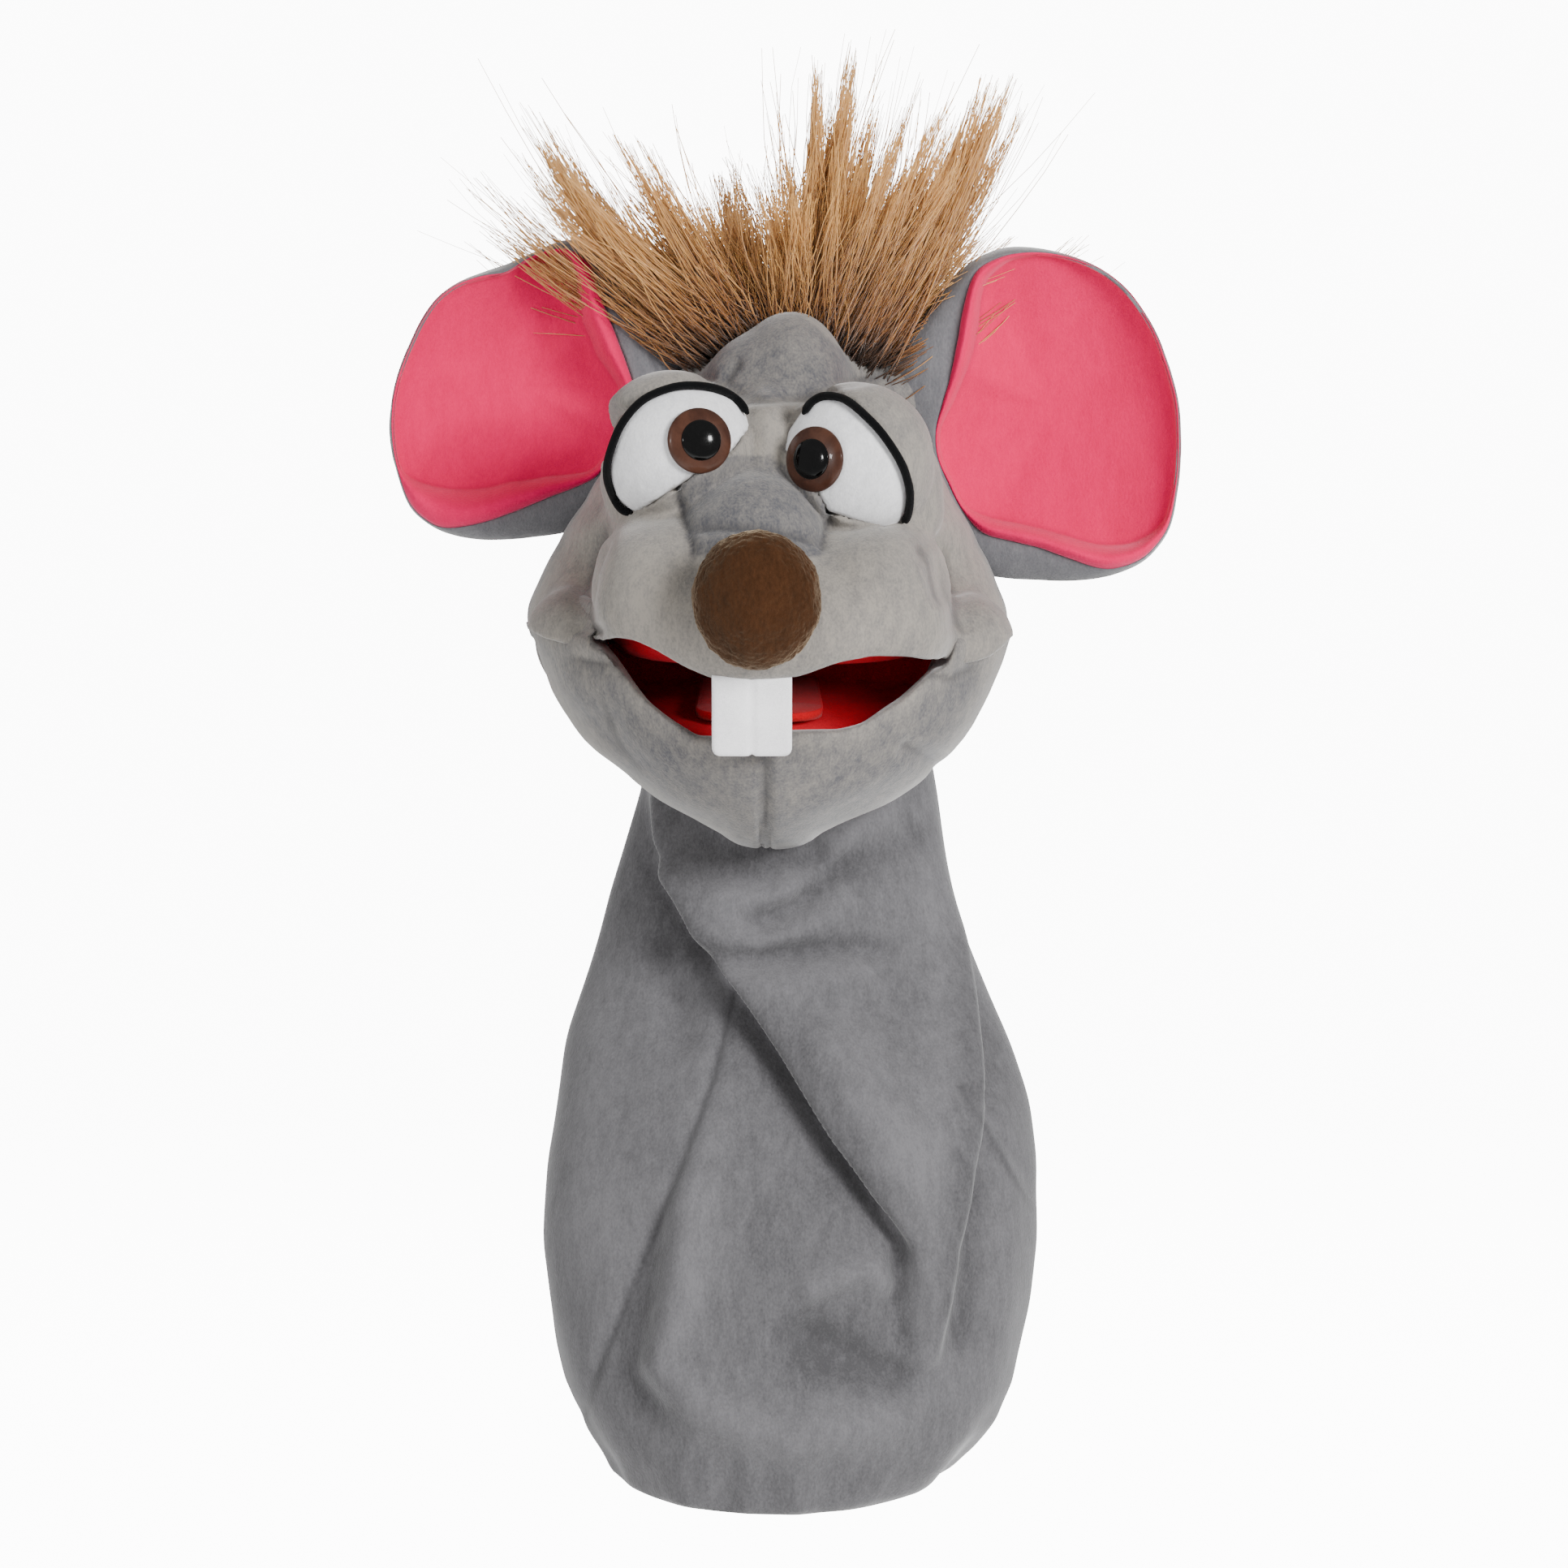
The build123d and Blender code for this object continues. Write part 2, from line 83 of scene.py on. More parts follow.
# line of each fold in the hanging cloth, how far it stands out, and its half width
CREASES = [
    ([(-26, 198), (-10, 192), (8, 190), (20, 194)], -2.6, 4),
    ([(-30, 190), (-10, 184), (10, 182)], 2.4, 5),
    ([(-32, 193.7), (-24, 190), (-16.4, 187.2), (-5, 185), (4.7, 184.3)], -3.0, 2.8),
    ([(-9, 171), (0, 174.5), (11, 180), (20, 187), (28, 193)], -3.8, 3.0),
    ([(-20, 181), (-8, 179), (3, 182), (12, 188)], 2.4, 5),
    ([(-20, 171), (-10, 168.5), (2, 169), (12, 173), (24, 180)], 3.0, 4.2),
    ([(-24, 167), (-14, 163.5), (-4, 162.2), (7, 164), (26, 165.4), (40, 163)], -4.4, 3.0),
    ([(-18, 157), (-4, 155), (14, 156.5), (34, 158)], 2.6, 5),
    ([(12, 196), (26, 203), (38, 206)], 2.6, 6),
    ([(20, 185), (34, 194), (48, 200)], -2.2, 5),
    ([(46, 200), (50, 160), (50, 120), (46, 80)], 2.2, 6),
    ([(14, 148), (32, 120), (44, 92)], 2.4, 8),
    ([(4, 144), (24, 110), (38, 84)], -2.4, 4.5),
    ([(-13, 128), (-22, 90), (-26, 60), (-31, 40), (-18, 26), (5, 19), (34, 24), (48, 32)], 3.6, 7),
    ([(-33, 92), (-37, 62), (-41, 40), (-30, 20)], -2.6, 6),
    ([(6, 60), (18, 67), (30, 69), (37, 60)], 3.6, 5),
    ([(4, 50), (18, 43), (32, 38), (44, 36)], -4.2, 6),
    ([(44, 74), (44, 54), (44, 38)], 2.6, 4.5),
    ([(36, 76), (38, 58), (41, 42)], -3.4, 3.4),
    ([(-50, 150), (-54, 110), (-58, 70)], 1.6, 9),
    ([(-34, 172), (-28, 150), (-24, 130)], -2.4, 6),
    ([(62, 124), (67, 90), (64, 50)], 2.2, 8),
    ([(57, 110), (58, 70), (54, 40)], -2.6, 5),
]

FACE_LEFT = [(316, -46.5), (308.2, -49.4), (296.6, -55.2), (285.1, -63), (270.6, -70.3), (263.3, -72.8),
             (256.1, -71.3)]
FACE_RIGHT = [(316.3, 46.8), (309.1, 49.4), (299.8, 53.5), (290.4, 58.8), (279.9, 64.1), (264.3, 70.3),
              (259.2, 71.3)]
JAW_LEFT = [(263, -72.8), (256, -71.3), (243.6, -67), (237.3, -64.6), (225.8, -56.8), (217.5, -48.6),
            (210.7, -40), (202.9, -28.4), (197.7, -16.8)]
JAW_RIGHT = [(259, 71.3), (248.7, 69.4), (238.3, 65.2), (225.8, 58.8), (216.5, 50.8), (208.7, 41.2),
             (202.9, 30.6), (197.7, 18)]
UPPER_LIP = [(-73, 262.5), (-65, 257.4), (-58.8, 254.7), (-50.4, 253.8), (-48.4, 254.2), (-45.3, 255.8),
             (-40, 255.2), (-32.8, 251.5),
             (-25.4, 246.9), (-17.2, 243.2), (-7.8, 242.7), (.5, 243), (8.9, 243.8), (19.2, 247.7),
             (29.7, 249.9), (40, 250.5),
             (48.4, 249.2), (56.6, 248.2), (64.1, 252), (68.2, 257), (72, 260)]
LOWER_LIP = [(-73, 262.1), (-65, 257), (-58.8, 254.2), (-50.4, 252.9), (-48.4, 251.5), (-44.2, 243.5),
             (-39, 236.2), (-32.8, 230.5), (-25.5, 225.6),
             (-17.7, 225.6), (0, 226.5), (6.3, 227.4), (22.4, 228.1), (29.7, 230), (35.9, 234.2),
             (41.1, 237.3), (45.3, 241.4), (49.4, 246.6),
             (56.6, 247.6), (64.1, 251.6), (68.2, 256.6), (72, 259.6)]

UPPER_FRONT = [(0, -82), (30, -76), (45, -64), (51, -48), (56, -34), (62, -20), (70, -3), (74, 4)]
LOWER_FRONT = [(0, -71), (30, -65), (45, -54), (56, -43), (64, -28), (70, -10), (74, 2)]

FOREHEAD_SEAM = [(-21.8, 333.6), (-14, 330.5), (-7.8, 326), (8.4, 326.9), (12, 326.6), (20, 331),
                 (31.7, 333.1)]
FOREHEAD_AREA = [(-21.8, 333.6), (-18.2, 338), (-14, 343), (-6.7, 349), (.5, 352), (5.3, 353), (8.9, 351),
                 (14, 347),
                 (19.2, 342), (25.4, 338), (31.7, 333.5), (20, 331), (12, 326.6), (-7.8, 326), (-14, 330.5)]
BRIDGE_AREA = [(-27.1, 300.7), (-22, 304.5), (-12, 309.5), (0, 309), (8.9, 303.8), (17.8, 294.5),
               (17.2, 289.3), (15.1, 279.9),
               (-4, 276), (-23.4, 279.9), (-25.4, 288.2), (-27.6, 296.6)]
BRIDGE_SEAMS = [[(-27.1, 301.5), (-27.6, 296.6), (-25.4, 288.2), (-22.4, 277)],
                [(18.3, 296.5), (17.2, 289.3), (15.1, 279.9)],
                [(-24.5, 287.3), (-16.1, 288.2), (-6.7, 288.2), (2.6, 286.8), (15.1, 283.3)]]
CHEEK_CREASE = [(-49, 289.5), (-54.7, 275.8), (-56.2, 266.4), (-55.7, 259), (-51, 253.5)]
CHEEK_FOLDS = [[(43.2, 285.1), (48.5, 277.9), (51.6, 264.2)], [(52.5, 282), (55.7, 265.4), (57.3, 256)]]

EYE_SHOWS = {
    "right": [(-41, 292.4), (-44.2, 293.5), (-46.8, 297.6), (-48.4, 302.9), (-47.9, 309.1), (-44.2, 318.5),
              (-37.9, 325.7),
              (-29.6, 329.4), (-22.3, 330.1), (-15.1, 328.8), (-9.8, 325.7), (-6.7, 321.6), (-7.2, 317.5),
              (-12, 311.3), (-22.3, 304.8), (-28.6, 300.7)],
    "left": [(9.4, 321.6), (12, 325.2), (16.1, 327), (22.3, 325.7), (29.7, 319.4), (34.8, 313.2),
             (39, 306), (41, 298.7), (40.6, 292.4),
             (39, 289.2), (33.8, 288), (23.4, 291.4), (17.2, 293.5), (14, 299.5), (8.9, 303.8),
             (4.7, 311.2), (5.8, 316.3)]}
EYE_CORDS = {"right": EYE_SHOWS["right"][:12], "left": EYE_SHOWS["left"][:10]}
EYES = {"right": dict(centre=(-27.3, -38.4, 315.3), radii=(22.4, 20.5, 21.8), iris=(-21.1, 313.7),
                      glint=.10),
        "left": dict(centre=(24.5, -38, 311), radii=(22, 20.5, 22.4), iris=(12.7, 308.2), glint=.24)}

# seam, valley and outline distances of each ear, every 12 degrees from the right, going up
EAR_RINGS = {
    "right": [(34.0, 29.7, 50.5), (32.6, 26.6, 48.9), (32.3, 24.7, 46.7), (33.4, 25.8, 46.3),
              (36.0, 27.2, 47.0), (42.7, 33.1, 48.5),
              (44.4, 42.5, 47.1), (39.9, 38.7, 40.6), (34.5, 34.1, 37.0), (35.4, 34.0, 36.3),
              (36.1, 35.1, 36.6), (36.1, 35.2, 36.6),
              (35.1, 34.3, 35.7), (34.6, 33.6, 35.1), (35.3, 34.2, 35.8), (36.8, 35.6, 37.2),
              (38.6, 37.5, 39.1), (40.9, 39.7, 41.4),
              (43.7, 42.4, 44.2), (47.4, 38.3, 48.0), (47.5, 33.8, 48.1), (41.8, 30.3, 46.4),
              (37.1, 27.1, 44.6), (34.1, 26.7, 43.7),
              (32.8, 26.7, 44.4), (33.3, 28.9, 44.8), (34.6, 32.0, 44.2), (33.7, 31.5, 43.5),
              (32.3, 30.0, 43.7), (32.9, 29.9, 47.1)],
    "left": [(36.2, 35.0, 36.7), (35.3, 34.1, 35.8), (35.3, 34.2, 35.8), (36.5, 35.5, 37.0),
             (38.0, 37.1, 38.5), (40.4, 39.5, 40.9),
             (42.4, 41.4, 42.9), (44.1, 43.0, 44.6), (45.7, 44.5, 46.9), (46.9, 45.0, 49.4),
             (46.8, 41.8, 49.5), (40.1, 33.1, 47.8),
             (35.1, 29.2, 47.1), (32.7, 27.9, 48.2), (32.0, 28.4, 51.2), (33.4, 30.3, 52.4),
             (36.2, 34.7, 52.4), (38.1, 36.6, 52.6),
             (38.9, 37.2, 52.8), (41.3, 39.8, 54.2), (43.6, 38.1, 55.8), (41.9, 36.2, 53.3),
             (42.0, 36.3, 51.6), (45.4, 38.5, 52.0),
             (51.2, 43.1, 52.9), (52.3, 46.8, 53.2), (49.6, 47.3, 50.3), (43.8, 42.5, 44.5),
             (39.9, 38.8, 40.6), (37.3, 36.3, 38.0)]}
EAR_CENTRES = {"right": (-74.4, 328.8), "left": (84.0, 324.0)}

# across, up, how full and how loose each lock of hair is at its tip
LOCKS = [(-73, 410, 1, .25), (-70, 403, 1, .3), (-66, 395, 1.3, .5), (-59, 386, 1.5, .7),
         (-52, 378, 1.6, .8), (-89, 389, .35, .5), (-84, 378, .5, .5),
         (-79, 372, .5, .6), (-43, 404, .7, .25), (-37, 392, 1, .5), (-30, 382, 1.5, .8),
         (-15.6, 395, .8, .25), (-12, 384, 1.3, .7),
         (-2.4, 398, .6, .3), (3, 388, 1.1, .6), (9, 397, .5, .4), (19, 431, 1.2, .18), (22, 424, 1.6, .3),
         (23, 411, 2, .5), (34, 415, .9, .3),
         (33, 402, 1.4, .6), (27, 394, 1.7, .8), (40, 398, 1.2, .6), (51, 410, 1, .4), (70, 422, 1.8, .25),
         (63, 411, 1.8, .4), (56, 398, 1.8, .6),
         (55, 383, 1.2, .8), (48, 372, 1.3, .9), (95, 374, .4, .25), (70, 377, .7, .5), (44, 384, 1.5, .9),
         (0, 374, 1.6, .9), (-22, 372, 1.6, .9),
         (18, 378, 1.6, .9), (-40, 368, 1.3, .8)]


# ---------------------------------------------------------------- measuring helpers

def seen(co):
    """Across and up of points, as seen from VIEW_POINT."""
    d = co - VIEW_POINT
    depth = d[:, 1] * math.cos(TILT) - d[:, 2] * math.sin(TILT)
    rise = d[:, 1] * math.sin(TILT) + d[:, 2] * math.cos(TILT)
    return d[:, 0] / depth * REACH + AIM[0], rise / depth * REACH + UP_SHIFT


def place(across, up, y):
    """The point at depth y that is seen at that across and up."""
    slope = (np.asarray(up, float) - UP_SHIFT) / REACH
    dy = np.asarray(y, float) - VIEW_POINT[1]
    dz = dy * (math.cos(TILT) * slope - math.sin(TILT)) / (math.cos(TILT) + math.sin(TILT) * slope)
    depth = dy * math.cos(TILT) - dz * math.sin(TILT)
    x = (np.asarray(across, float) - AIM[0]) * depth / REACH + AIM[0]
    return np.stack(np.broadcast_arrays(x, np.asarray(y, float), dz + VIEW_POINT[2]), axis=-1)


def lip_height(rows, x, front):
    """Height at x of a lip line seen at those places. front gives its depth by distance from the middle."""
    seen_at = np.array(rows, float)
    depth = table(front, np.abs(seen_at[:, 0]))
    spot = place(seen_at[:, 0], seen_at[:, 1], depth)
    return np.interp(x, spot[:, 0], spot[:, 2])


def smooth(t):
    t = np.clip(t, 0, 1)
    return t * t * (3 - 2 * t)


def table(rows, at, column=1):
    rows = sorted(rows)
    return np.interp(at, [r[0] for r in rows], [r[column] for r in rows])


def to_line(across, up, line, closed=False):
    """Distance from each place to a line of places, and how far along it the nearest point is, 0 to 1."""
    pts = list(line) + ([line[0]] if closed else [])
    best = np.full(len(across), 1e9)
    along = np.zeros(len(across))
    for i in range(len(pts) - 1):
        (px, pz), (qx, qz) = pts[i], pts[i + 1]
        dx, dz = qx - px, qz - pz
        t = np.clip(((across - px) * dx + (up - pz) * dz) / (dx * dx + dz * dz), 0, 1)
        gap = np.hypot(across - px - t * dx, up - pz - t * dz)
        near = gap < best
        best[near] = gap[near]
        along[near] = (i + t[near]) / (len(pts) - 1)
    return best, along


def inside(across, up, area):
    """Signed distance into a closed area: above nought inside, below nought outside."""
    gap, _ = to_line(across, up, area, closed=True)
    odd = np.zeros(len(across), bool)
    for i in range(len(area)):
        (px, pz), (qx, qz) = area[i], area[(i + 1) % len(area)]
        crosses = (pz > up) != (qz > up)
        with np.errstate(divide="ignore", invalid="ignore"):
            odd ^= crosses & (across < (qx - px) * (up - pz) / (qz - pz) + px)
    return np.where(odd, gap, -gap)


def curve_through(points, steps):
    """A smooth run of points through the given ones."""
    pts = np.array(points, float)
    ends = np.vstack((2 * pts[0] - pts[1], pts, 2 * pts[-1] - pts[-2]))
    out = []
    for i in range(1, len(ends) - 2):
        p0, p1, p2, p3 = ends[i - 1:i + 3]
        for t in np.arange(steps) / steps:
            out.append(.5 * (2 * p1 + (p2 - p0) * t + (2 * p0 - 5 * p1 + 4 * p2 - p3) * t * t
                             + (3 * p1 - p0 - 3 * p2 + p3) * t ** 3))
    out.append(pts[-1])
    return np.array(out)


# ---------------------------------------------------------------- mesh helpers

def piece_from(name, bm, finish):
    mesh = bpy.data.meshes.new(name)
    bm.to_mesh(mesh)
    bm.free()
    obj = bpy.data.objects.new(name, mesh)
    bpy.context.scene.collection.objects.link(obj)
    mesh.materials.append(finish)
    mesh.shade_smooth()
    return obj


def points(obj):
    co = np.empty(len(obj.data.vertices) * 3)
    obj.data.vertices.foreach_get("co", co)
    return co.reshape(-1, 3)


def normals(obj):
    n = np.empty(len(obj.data.vertices) * 3)
    obj.data.vertices.foreach_get("normal", n)
    return n.reshape(-1, 3)


def move_to(obj, co):
    obj.data.vertices.foreach_set("co", np.ascontiguousarray(co, np.float32).ravel())
    obj.data.update()


def mark(obj, name, values):
    old = obj.data.attributes.get(name)
    layer = old or obj.data.attributes.new(name, "FLOAT", "POINT")
    layer.data.foreach_set("value", np.ascontiguousarray(values, np.float32))


def settle(obj):
    """Applies the modifiers that are on the piece."""
    bpy.context.view_layer.update()
    ready = obj.evaluated_get(bpy.context.evaluated_depsgraph_get())
    mesh = bpy.data.meshes.new_from_object(ready)
    old = obj.data
    obj.modifiers.clear()
    obj.data = mesh
    bpy.data.meshes.remove(old)
    mesh.name = obj.name
    mesh.shade_smooth()


def remesh(obj, voxel):
    step = obj.modifiers.new("Remesh", "REMESH")
    step.mode = "VOXEL"
    step.voxel_size = voxel
    step.use_smooth_shade = True
    settle(obj)


def soften(obj, times, factor=.5, weights=None):
    step = obj.modifiers.new("Soften", "SMOOTH")
    if weights is not None:
        group = obj.vertex_groups.new(name="soft")
        for index in np.nonzero(weights > .02)[0]:
            group.add([int(index)], float(weights[index]), "REPLACE")
        step.vertex_group = "soft"
    step.iterations = times
    step.factor = factor
    settle(obj)
    obj.vertex_groups.clear()


def blob(bm, centre, radii, turn=(0, 0, 0)):
    made = bmesh.ops.create_icosphere(bm, subdivisions=4, radius=1.0)["verts"]
    bmesh.ops.scale(bm, vec=radii, verts=made)
    for axis, angle in zip("XYZ", turn):
        bmesh.ops.rotate(bm, cent=(0, 0, 0), matrix=Matrix.Rotation(math.radians(angle), 3, axis),
                         verts=made)
    bmesh.ops.translate(bm, vec=centre, verts=made)


def woven(name, across, along, shape, finish, joined=False):
    """A grid of fabric: shape turns the two 0-to-1 coordinates into places."""
    bm = bmesh.new()
    bmesh.ops.create_grid(bm, x_segments=across, y_segments=along, size=.5)
    co = np.array([v.co for v in bm.verts]) + .5
    for v, p in zip(bm.verts, shape(co[:, 0], co[:, 1])):
        v.co = p
    if joined:
        bmesh.ops.remove_doubles(bm, verts=bm.verts, dist=.004)
        bmesh.ops.dissolve_degenerate(bm, edges=bm.edges, dist=.0005)
    bmesh.ops.recalc_face_normals(bm, faces=bm.faces)
    return piece_from(name, bm, finish)


def face_out(obj, centre):
    """Turns an open piece's faces away from centre."""
    co, n = points(obj), normals(obj)
    if ((co - np.array(centre)) * n).sum() < 0:
        obj.data.flip_normals()


def thicken(obj, thickness, offset=-1):
    wall = obj.modifiers.new("Cloth thickness", "SOLIDIFY")
    wall.thickness = thickness
    wall.offset = offset
    wall.use_even_offset = False
    settle(obj)


def fit_sides(obj, left, right, middle=0.0, above=400, below=0):
    """Widens or narrows the piece, height by height, until its outline meets the two tables."""
    co = points(obj)
    for _ in range(2):
        across, up = seen(co)
        use = (co[:, 2] > below) & (co[:, 2] < above)
        for rows, sign in ((left, -1), (right, 1)):
            side = (np.sign(across - middle) == sign) & use
            low, high = min(r[0] for r in rows), max(r[0] for r in rows)
            bins = np.arange(low, high + 1, 2.0)
            ratio = []
            for b in bins:
                near = side & (np.abs(up - b) < 2)
                reach = (np.abs(across[near] - middle)).max() if near.any() else 1
                ratio.append(np.clip(abs(table(rows, b) - middle) / reach, .6, 1.25))
            ratio = np.convolve(np.pad(ratio, 2, "edge"), np.ones(5) / 5, "valid")
            gain = np.interp(up, bins, ratio)
            fade = smooth(1 - (up - high) / 14) * smooth(1 - (low - up) / 14)
            gain = 1 + (gain - 1) * fade
            co[side, 0] = middle + (co[side, 0] - middle) * gain[side]
    across, up = seen(co)
    for rows, sign in ((left, -1), (right, 1)):
        most = np.abs(table(rows, up) - middle) + .2
        low, high = min(r[0] for r in rows), max(r[0] for r in rows)
        out = ((np.sign(across - middle) == sign) & (np.abs(across - middle) > most)
               & (up > low - 3) & (up < high))
        co[out, 0] = middle + (co[out, 0] - middle) * (most / np.abs(across - middle))[out]
    move_to(obj, co)


def press_seams(obj, seams):
    """Sinks sewn seams into the front of a piece, and marks them for its finish."""
    co, n = points(obj), normals(obj)
    across, up = seen(co)
    front = np.clip(-n[:, 1] * 4 + .4, 0, 1)
    sunk = np.zeros(len(co))
    for line, depth, width in seams:
        gap, along = to_line(across, up, line)
        ends = smooth(along * len(line) * 1.2 + .3) * smooth((1 - along) * len(line) * 1.2 + .3)
        groove = np.exp(-(gap / width) ** 2) * front * ends
        co -= n * (groove * depth)[:, None]
        sunk = np.maximum(sunk, np.exp(-(gap / 1.1) ** 2) * front * ends * min(1, depth / 1.2))
    move_to(obj, co)
    return sunk


def ripple(co, size, seed):
    """A slow wander of values about nought, for the give of stuffing."""
    rng = np.random.default_rng(seed)
    total = np.zeros(len(co))
    for _ in range(9):
        k = rng.normal(size=3)
        k *= 2 * math.pi / (np.linalg.norm(k) * size * rng.uniform(.7, 1.6))
        total += np.sin(co @ k + rng.uniform(0, 6.28))
    return total / 3


def in_metres(obj):
    obj.data.transform(Matrix.Scale(.001, 4))
    obj.data.update()


def finish_piece(obj, body, nodes):
    in_metres(obj)
    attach(obj, body)
    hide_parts(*nodes)


def finish_blend(obj, nodes):
    in_metres(obj)
    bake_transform(obj)
    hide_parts(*nodes)


def round_cord(name, path, radius, finish):
    """A round cord sewn along a path, closed and tapered at both ends."""
    line = bpy.data.curves.new(name, "CURVE")
    line.dimensions = "3D"
    line.bevel_depth = radius
    line.bevel_resolution = 4
    line.use_fill_caps = True
    run = line.splines.new("POLY")
    run.points.add(len(path) - 1)
    for i, (p, q) in enumerate(zip(run.points, path)):
        p.co = (*q, 1)
        p.radius = min(1, .35 + .3 * i, .35 + .3 * (len(path) - 1 - i))
    rough = bpy.data.objects.new(name + "_line", line)
    bpy.context.scene.collection.objects.link(rough)
    bpy.context.view_layer.update()
    mesh = bpy.data.meshes.new_from_object(rough.evaluated_get(bpy.context.evaluated_depsgraph_get()))
    bpy.data.objects.remove(rough)
    bpy.data.curves.remove(line)
    mesh.name = name
    obj = bpy.data.objects.new(name, mesh)
    bpy.context.scene.collection.objects.link(obj)
    mesh.materials.clear()
    mesh.materials.append(finish)
    mesh.shade_smooth()
    return obj


# ---------------------------------------------------------------- finishes

def socket_in(group, name, kind, value):
    item = group.interface.new_socket(name=name, in_out="INPUT", socket_type=kind)
    item.default_value = value


def wire(tree, *pairs):
    for a, b in pairs:
        tree.links.new(a, b)


def noise(tree, coords, scale, detail=2.0, rough=.5, distort=0.0):
    node = tree.nodes.new("ShaderNodeTexNoise")
    node.inputs["Scale"].default_value = scale
    node.inputs["Detail"].default_value = detail
    node.inputs["Roughness"].default_value = rough
    node.inputs["Distortion"].default_value = distort
    tree.links.new(coords, node.inputs["Vector"])
    return node.outputs["Fac"]


def spread(tree, value, low, high, to_low=0.0, to_high=1.0):
    node = tree.nodes.new("ShaderNodeMapRange")
    node.interpolation_type = "SMOOTHSTEP"
    for key, number in (("From Min", low), ("From Max", high), ("To Min", to_low), ("To Max", to_high)):
        node.inputs[key].default_value = number
    tree.links.new(value, node.inputs["Value"])
    return node.outputs["Result"]


def maths(tree, kind, a, b):
    node = tree.nodes.new("ShaderNodeMath")
    node.operation = kind
    for key, x in ((0, a), (1, b)):
        if isinstance(x, (int, float)):
            node.inputs[key].default_value = x
        else:
            tree.links.new(x, node.inputs[key])
    return node.outputs[0]


def blend_colours(tree, mask, a, b):
    node = tree.nodes.new("ShaderNodeMix")
    node.data_type = "RGBA"
    tree.links.new(mask, node.inputs["Factor"])
    for key, x in (("A", a), ("B", b)):
        where = [s for s in node.inputs if s.name == key and s.type == "RGBA"][0]
        if isinstance(x, tuple):
            where.default_value = (*x, 1)
        else:
            tree.links.new(x, where)
    return [s for s in node.outputs if s.type == "RGBA"][0]


def linear(red, green, blue):
    """A colour given as 0 to 255, turned into the linear values that shaders read."""
    return tuple((c / 255 / 12.92) if c <= 10.3 else ((c / 255 + .055) / 1.055) ** 2.4
                 for c in (red, green, blue))


def nap_group():
    """Brushed short pile: patches where the nap lies one way or another, streaks along it, and tufts."""
    old = bpy.data.node_groups.get("Brushed nap")
    if old:
        return old
    g = bpy.data.node_groups.new("Brushed nap", "ShaderNodeTree")
    for name, value in (("Laid Down", (.1, .1, .1, 1)), ("Brushed Up", (.3, .3, .3, 1)),
                        ("Seam Shade", (.05, .05, .05, 1))):
        socket_in(g, name, "NodeSocketColor", value)
    for name, value in (("Patch Scale", 28.0), ("Pile Scale", 1500.0), ("Tone", 0.5), ("Seam", 0.0),
                        ("Streak", .8)):
        socket_in(g, name, "NodeSocketFloat", value)
    for name, kind in (("Colour", "NodeSocketColor"), ("Pile Height", "NodeSocketFloat"),
                       ("Roughness", "NodeSocketFloat")):
        g.interface.new_socket(name=name, in_out="OUTPUT", socket_type=kind)
    start, end = g.nodes.new("NodeGroupInput"), g.nodes.new("NodeGroupOutput")
    where = g.nodes.new("ShaderNodeTexCoord").outputs["Object"]

    def noise_at(scale_socket, times, detail, stretch=(1, 1, 1), distort=0.0):
        turn = g.nodes.new("ShaderNodeMapping")
        turn.inputs["Scale"].default_value = stretch
        turn.inputs["Rotation"].default_value = (.2, .3, .1)
        g.links.new(where, turn.inputs["Vector"])
        out = noise(g, turn.outputs[0], 1, detail, .55, distort)
        g.links.new(maths(g, "MULTIPLY", start.outputs[scale_socket], times), out.node.inputs["Scale"])
        return out

    patch = noise_at("Patch Scale", 1.0, 3, distort=.6)
    brush = noise_at("Patch Scale", 7.0, 4, stretch=(1, 1, .35), distort=1.2)
    streak = noise_at("Pile Scale", .16, 4, stretch=(1.6, 1.6, .5))
    tuft = noise_at("Pile Scale", 1.0, 2, stretch=(1, 1, .6))
    lie = maths(g, "ADD", maths(g, "MULTIPLY", maths(g, "SUBTRACT", patch, .5), .7), start.outputs["Tone"])
    lie = maths(g, "ADD", lie, maths(g, "MULTIPLY", maths(g, "SUBTRACT", brush, .5), .55))
    lie = maths(g, "ADD", lie, maths(g, "MULTIPLY", maths(g, "SUBTRACT", streak, .5),
                                     start.outputs["Streak"]))
    mask = maths(g, "ADD", lie, maths(g, "MULTIPLY", maths(g, "SUBTRACT", tuft, .5), .9))
    mask.node.use_clamp = True
    base = blend_colours(g, mask, start.outputs["Laid Down"], start.outputs["Brushed Up"])
    colour = blend_colours(g, start.outputs["Seam"], base, start.outputs["Seam Shade"])
    height = maths(g, "ADD", maths(g, "MULTIPLY", tuft, .65), maths(g, "MULTIPLY", streak, .35))
    wire(g, (colour, end.inputs["Colour"]), (height, end.inputs["Pile Height"]),
         (spread(g, tuft, .2, .8, .98, .82), end.inputs["Roughness"]))
    return g


def attribute(tree, name):
    node = tree.nodes.new("ShaderNodeAttribute")
    node.attribute_name = name
    return node.outputs["Fac"]


def fresh(name):
    mat = bpy.data.materials.new(name)
    mat.use_nodes = True
    shader = mat.node_tree.nodes["Principled BSDF"]
    return mat, mat.node_tree, shader


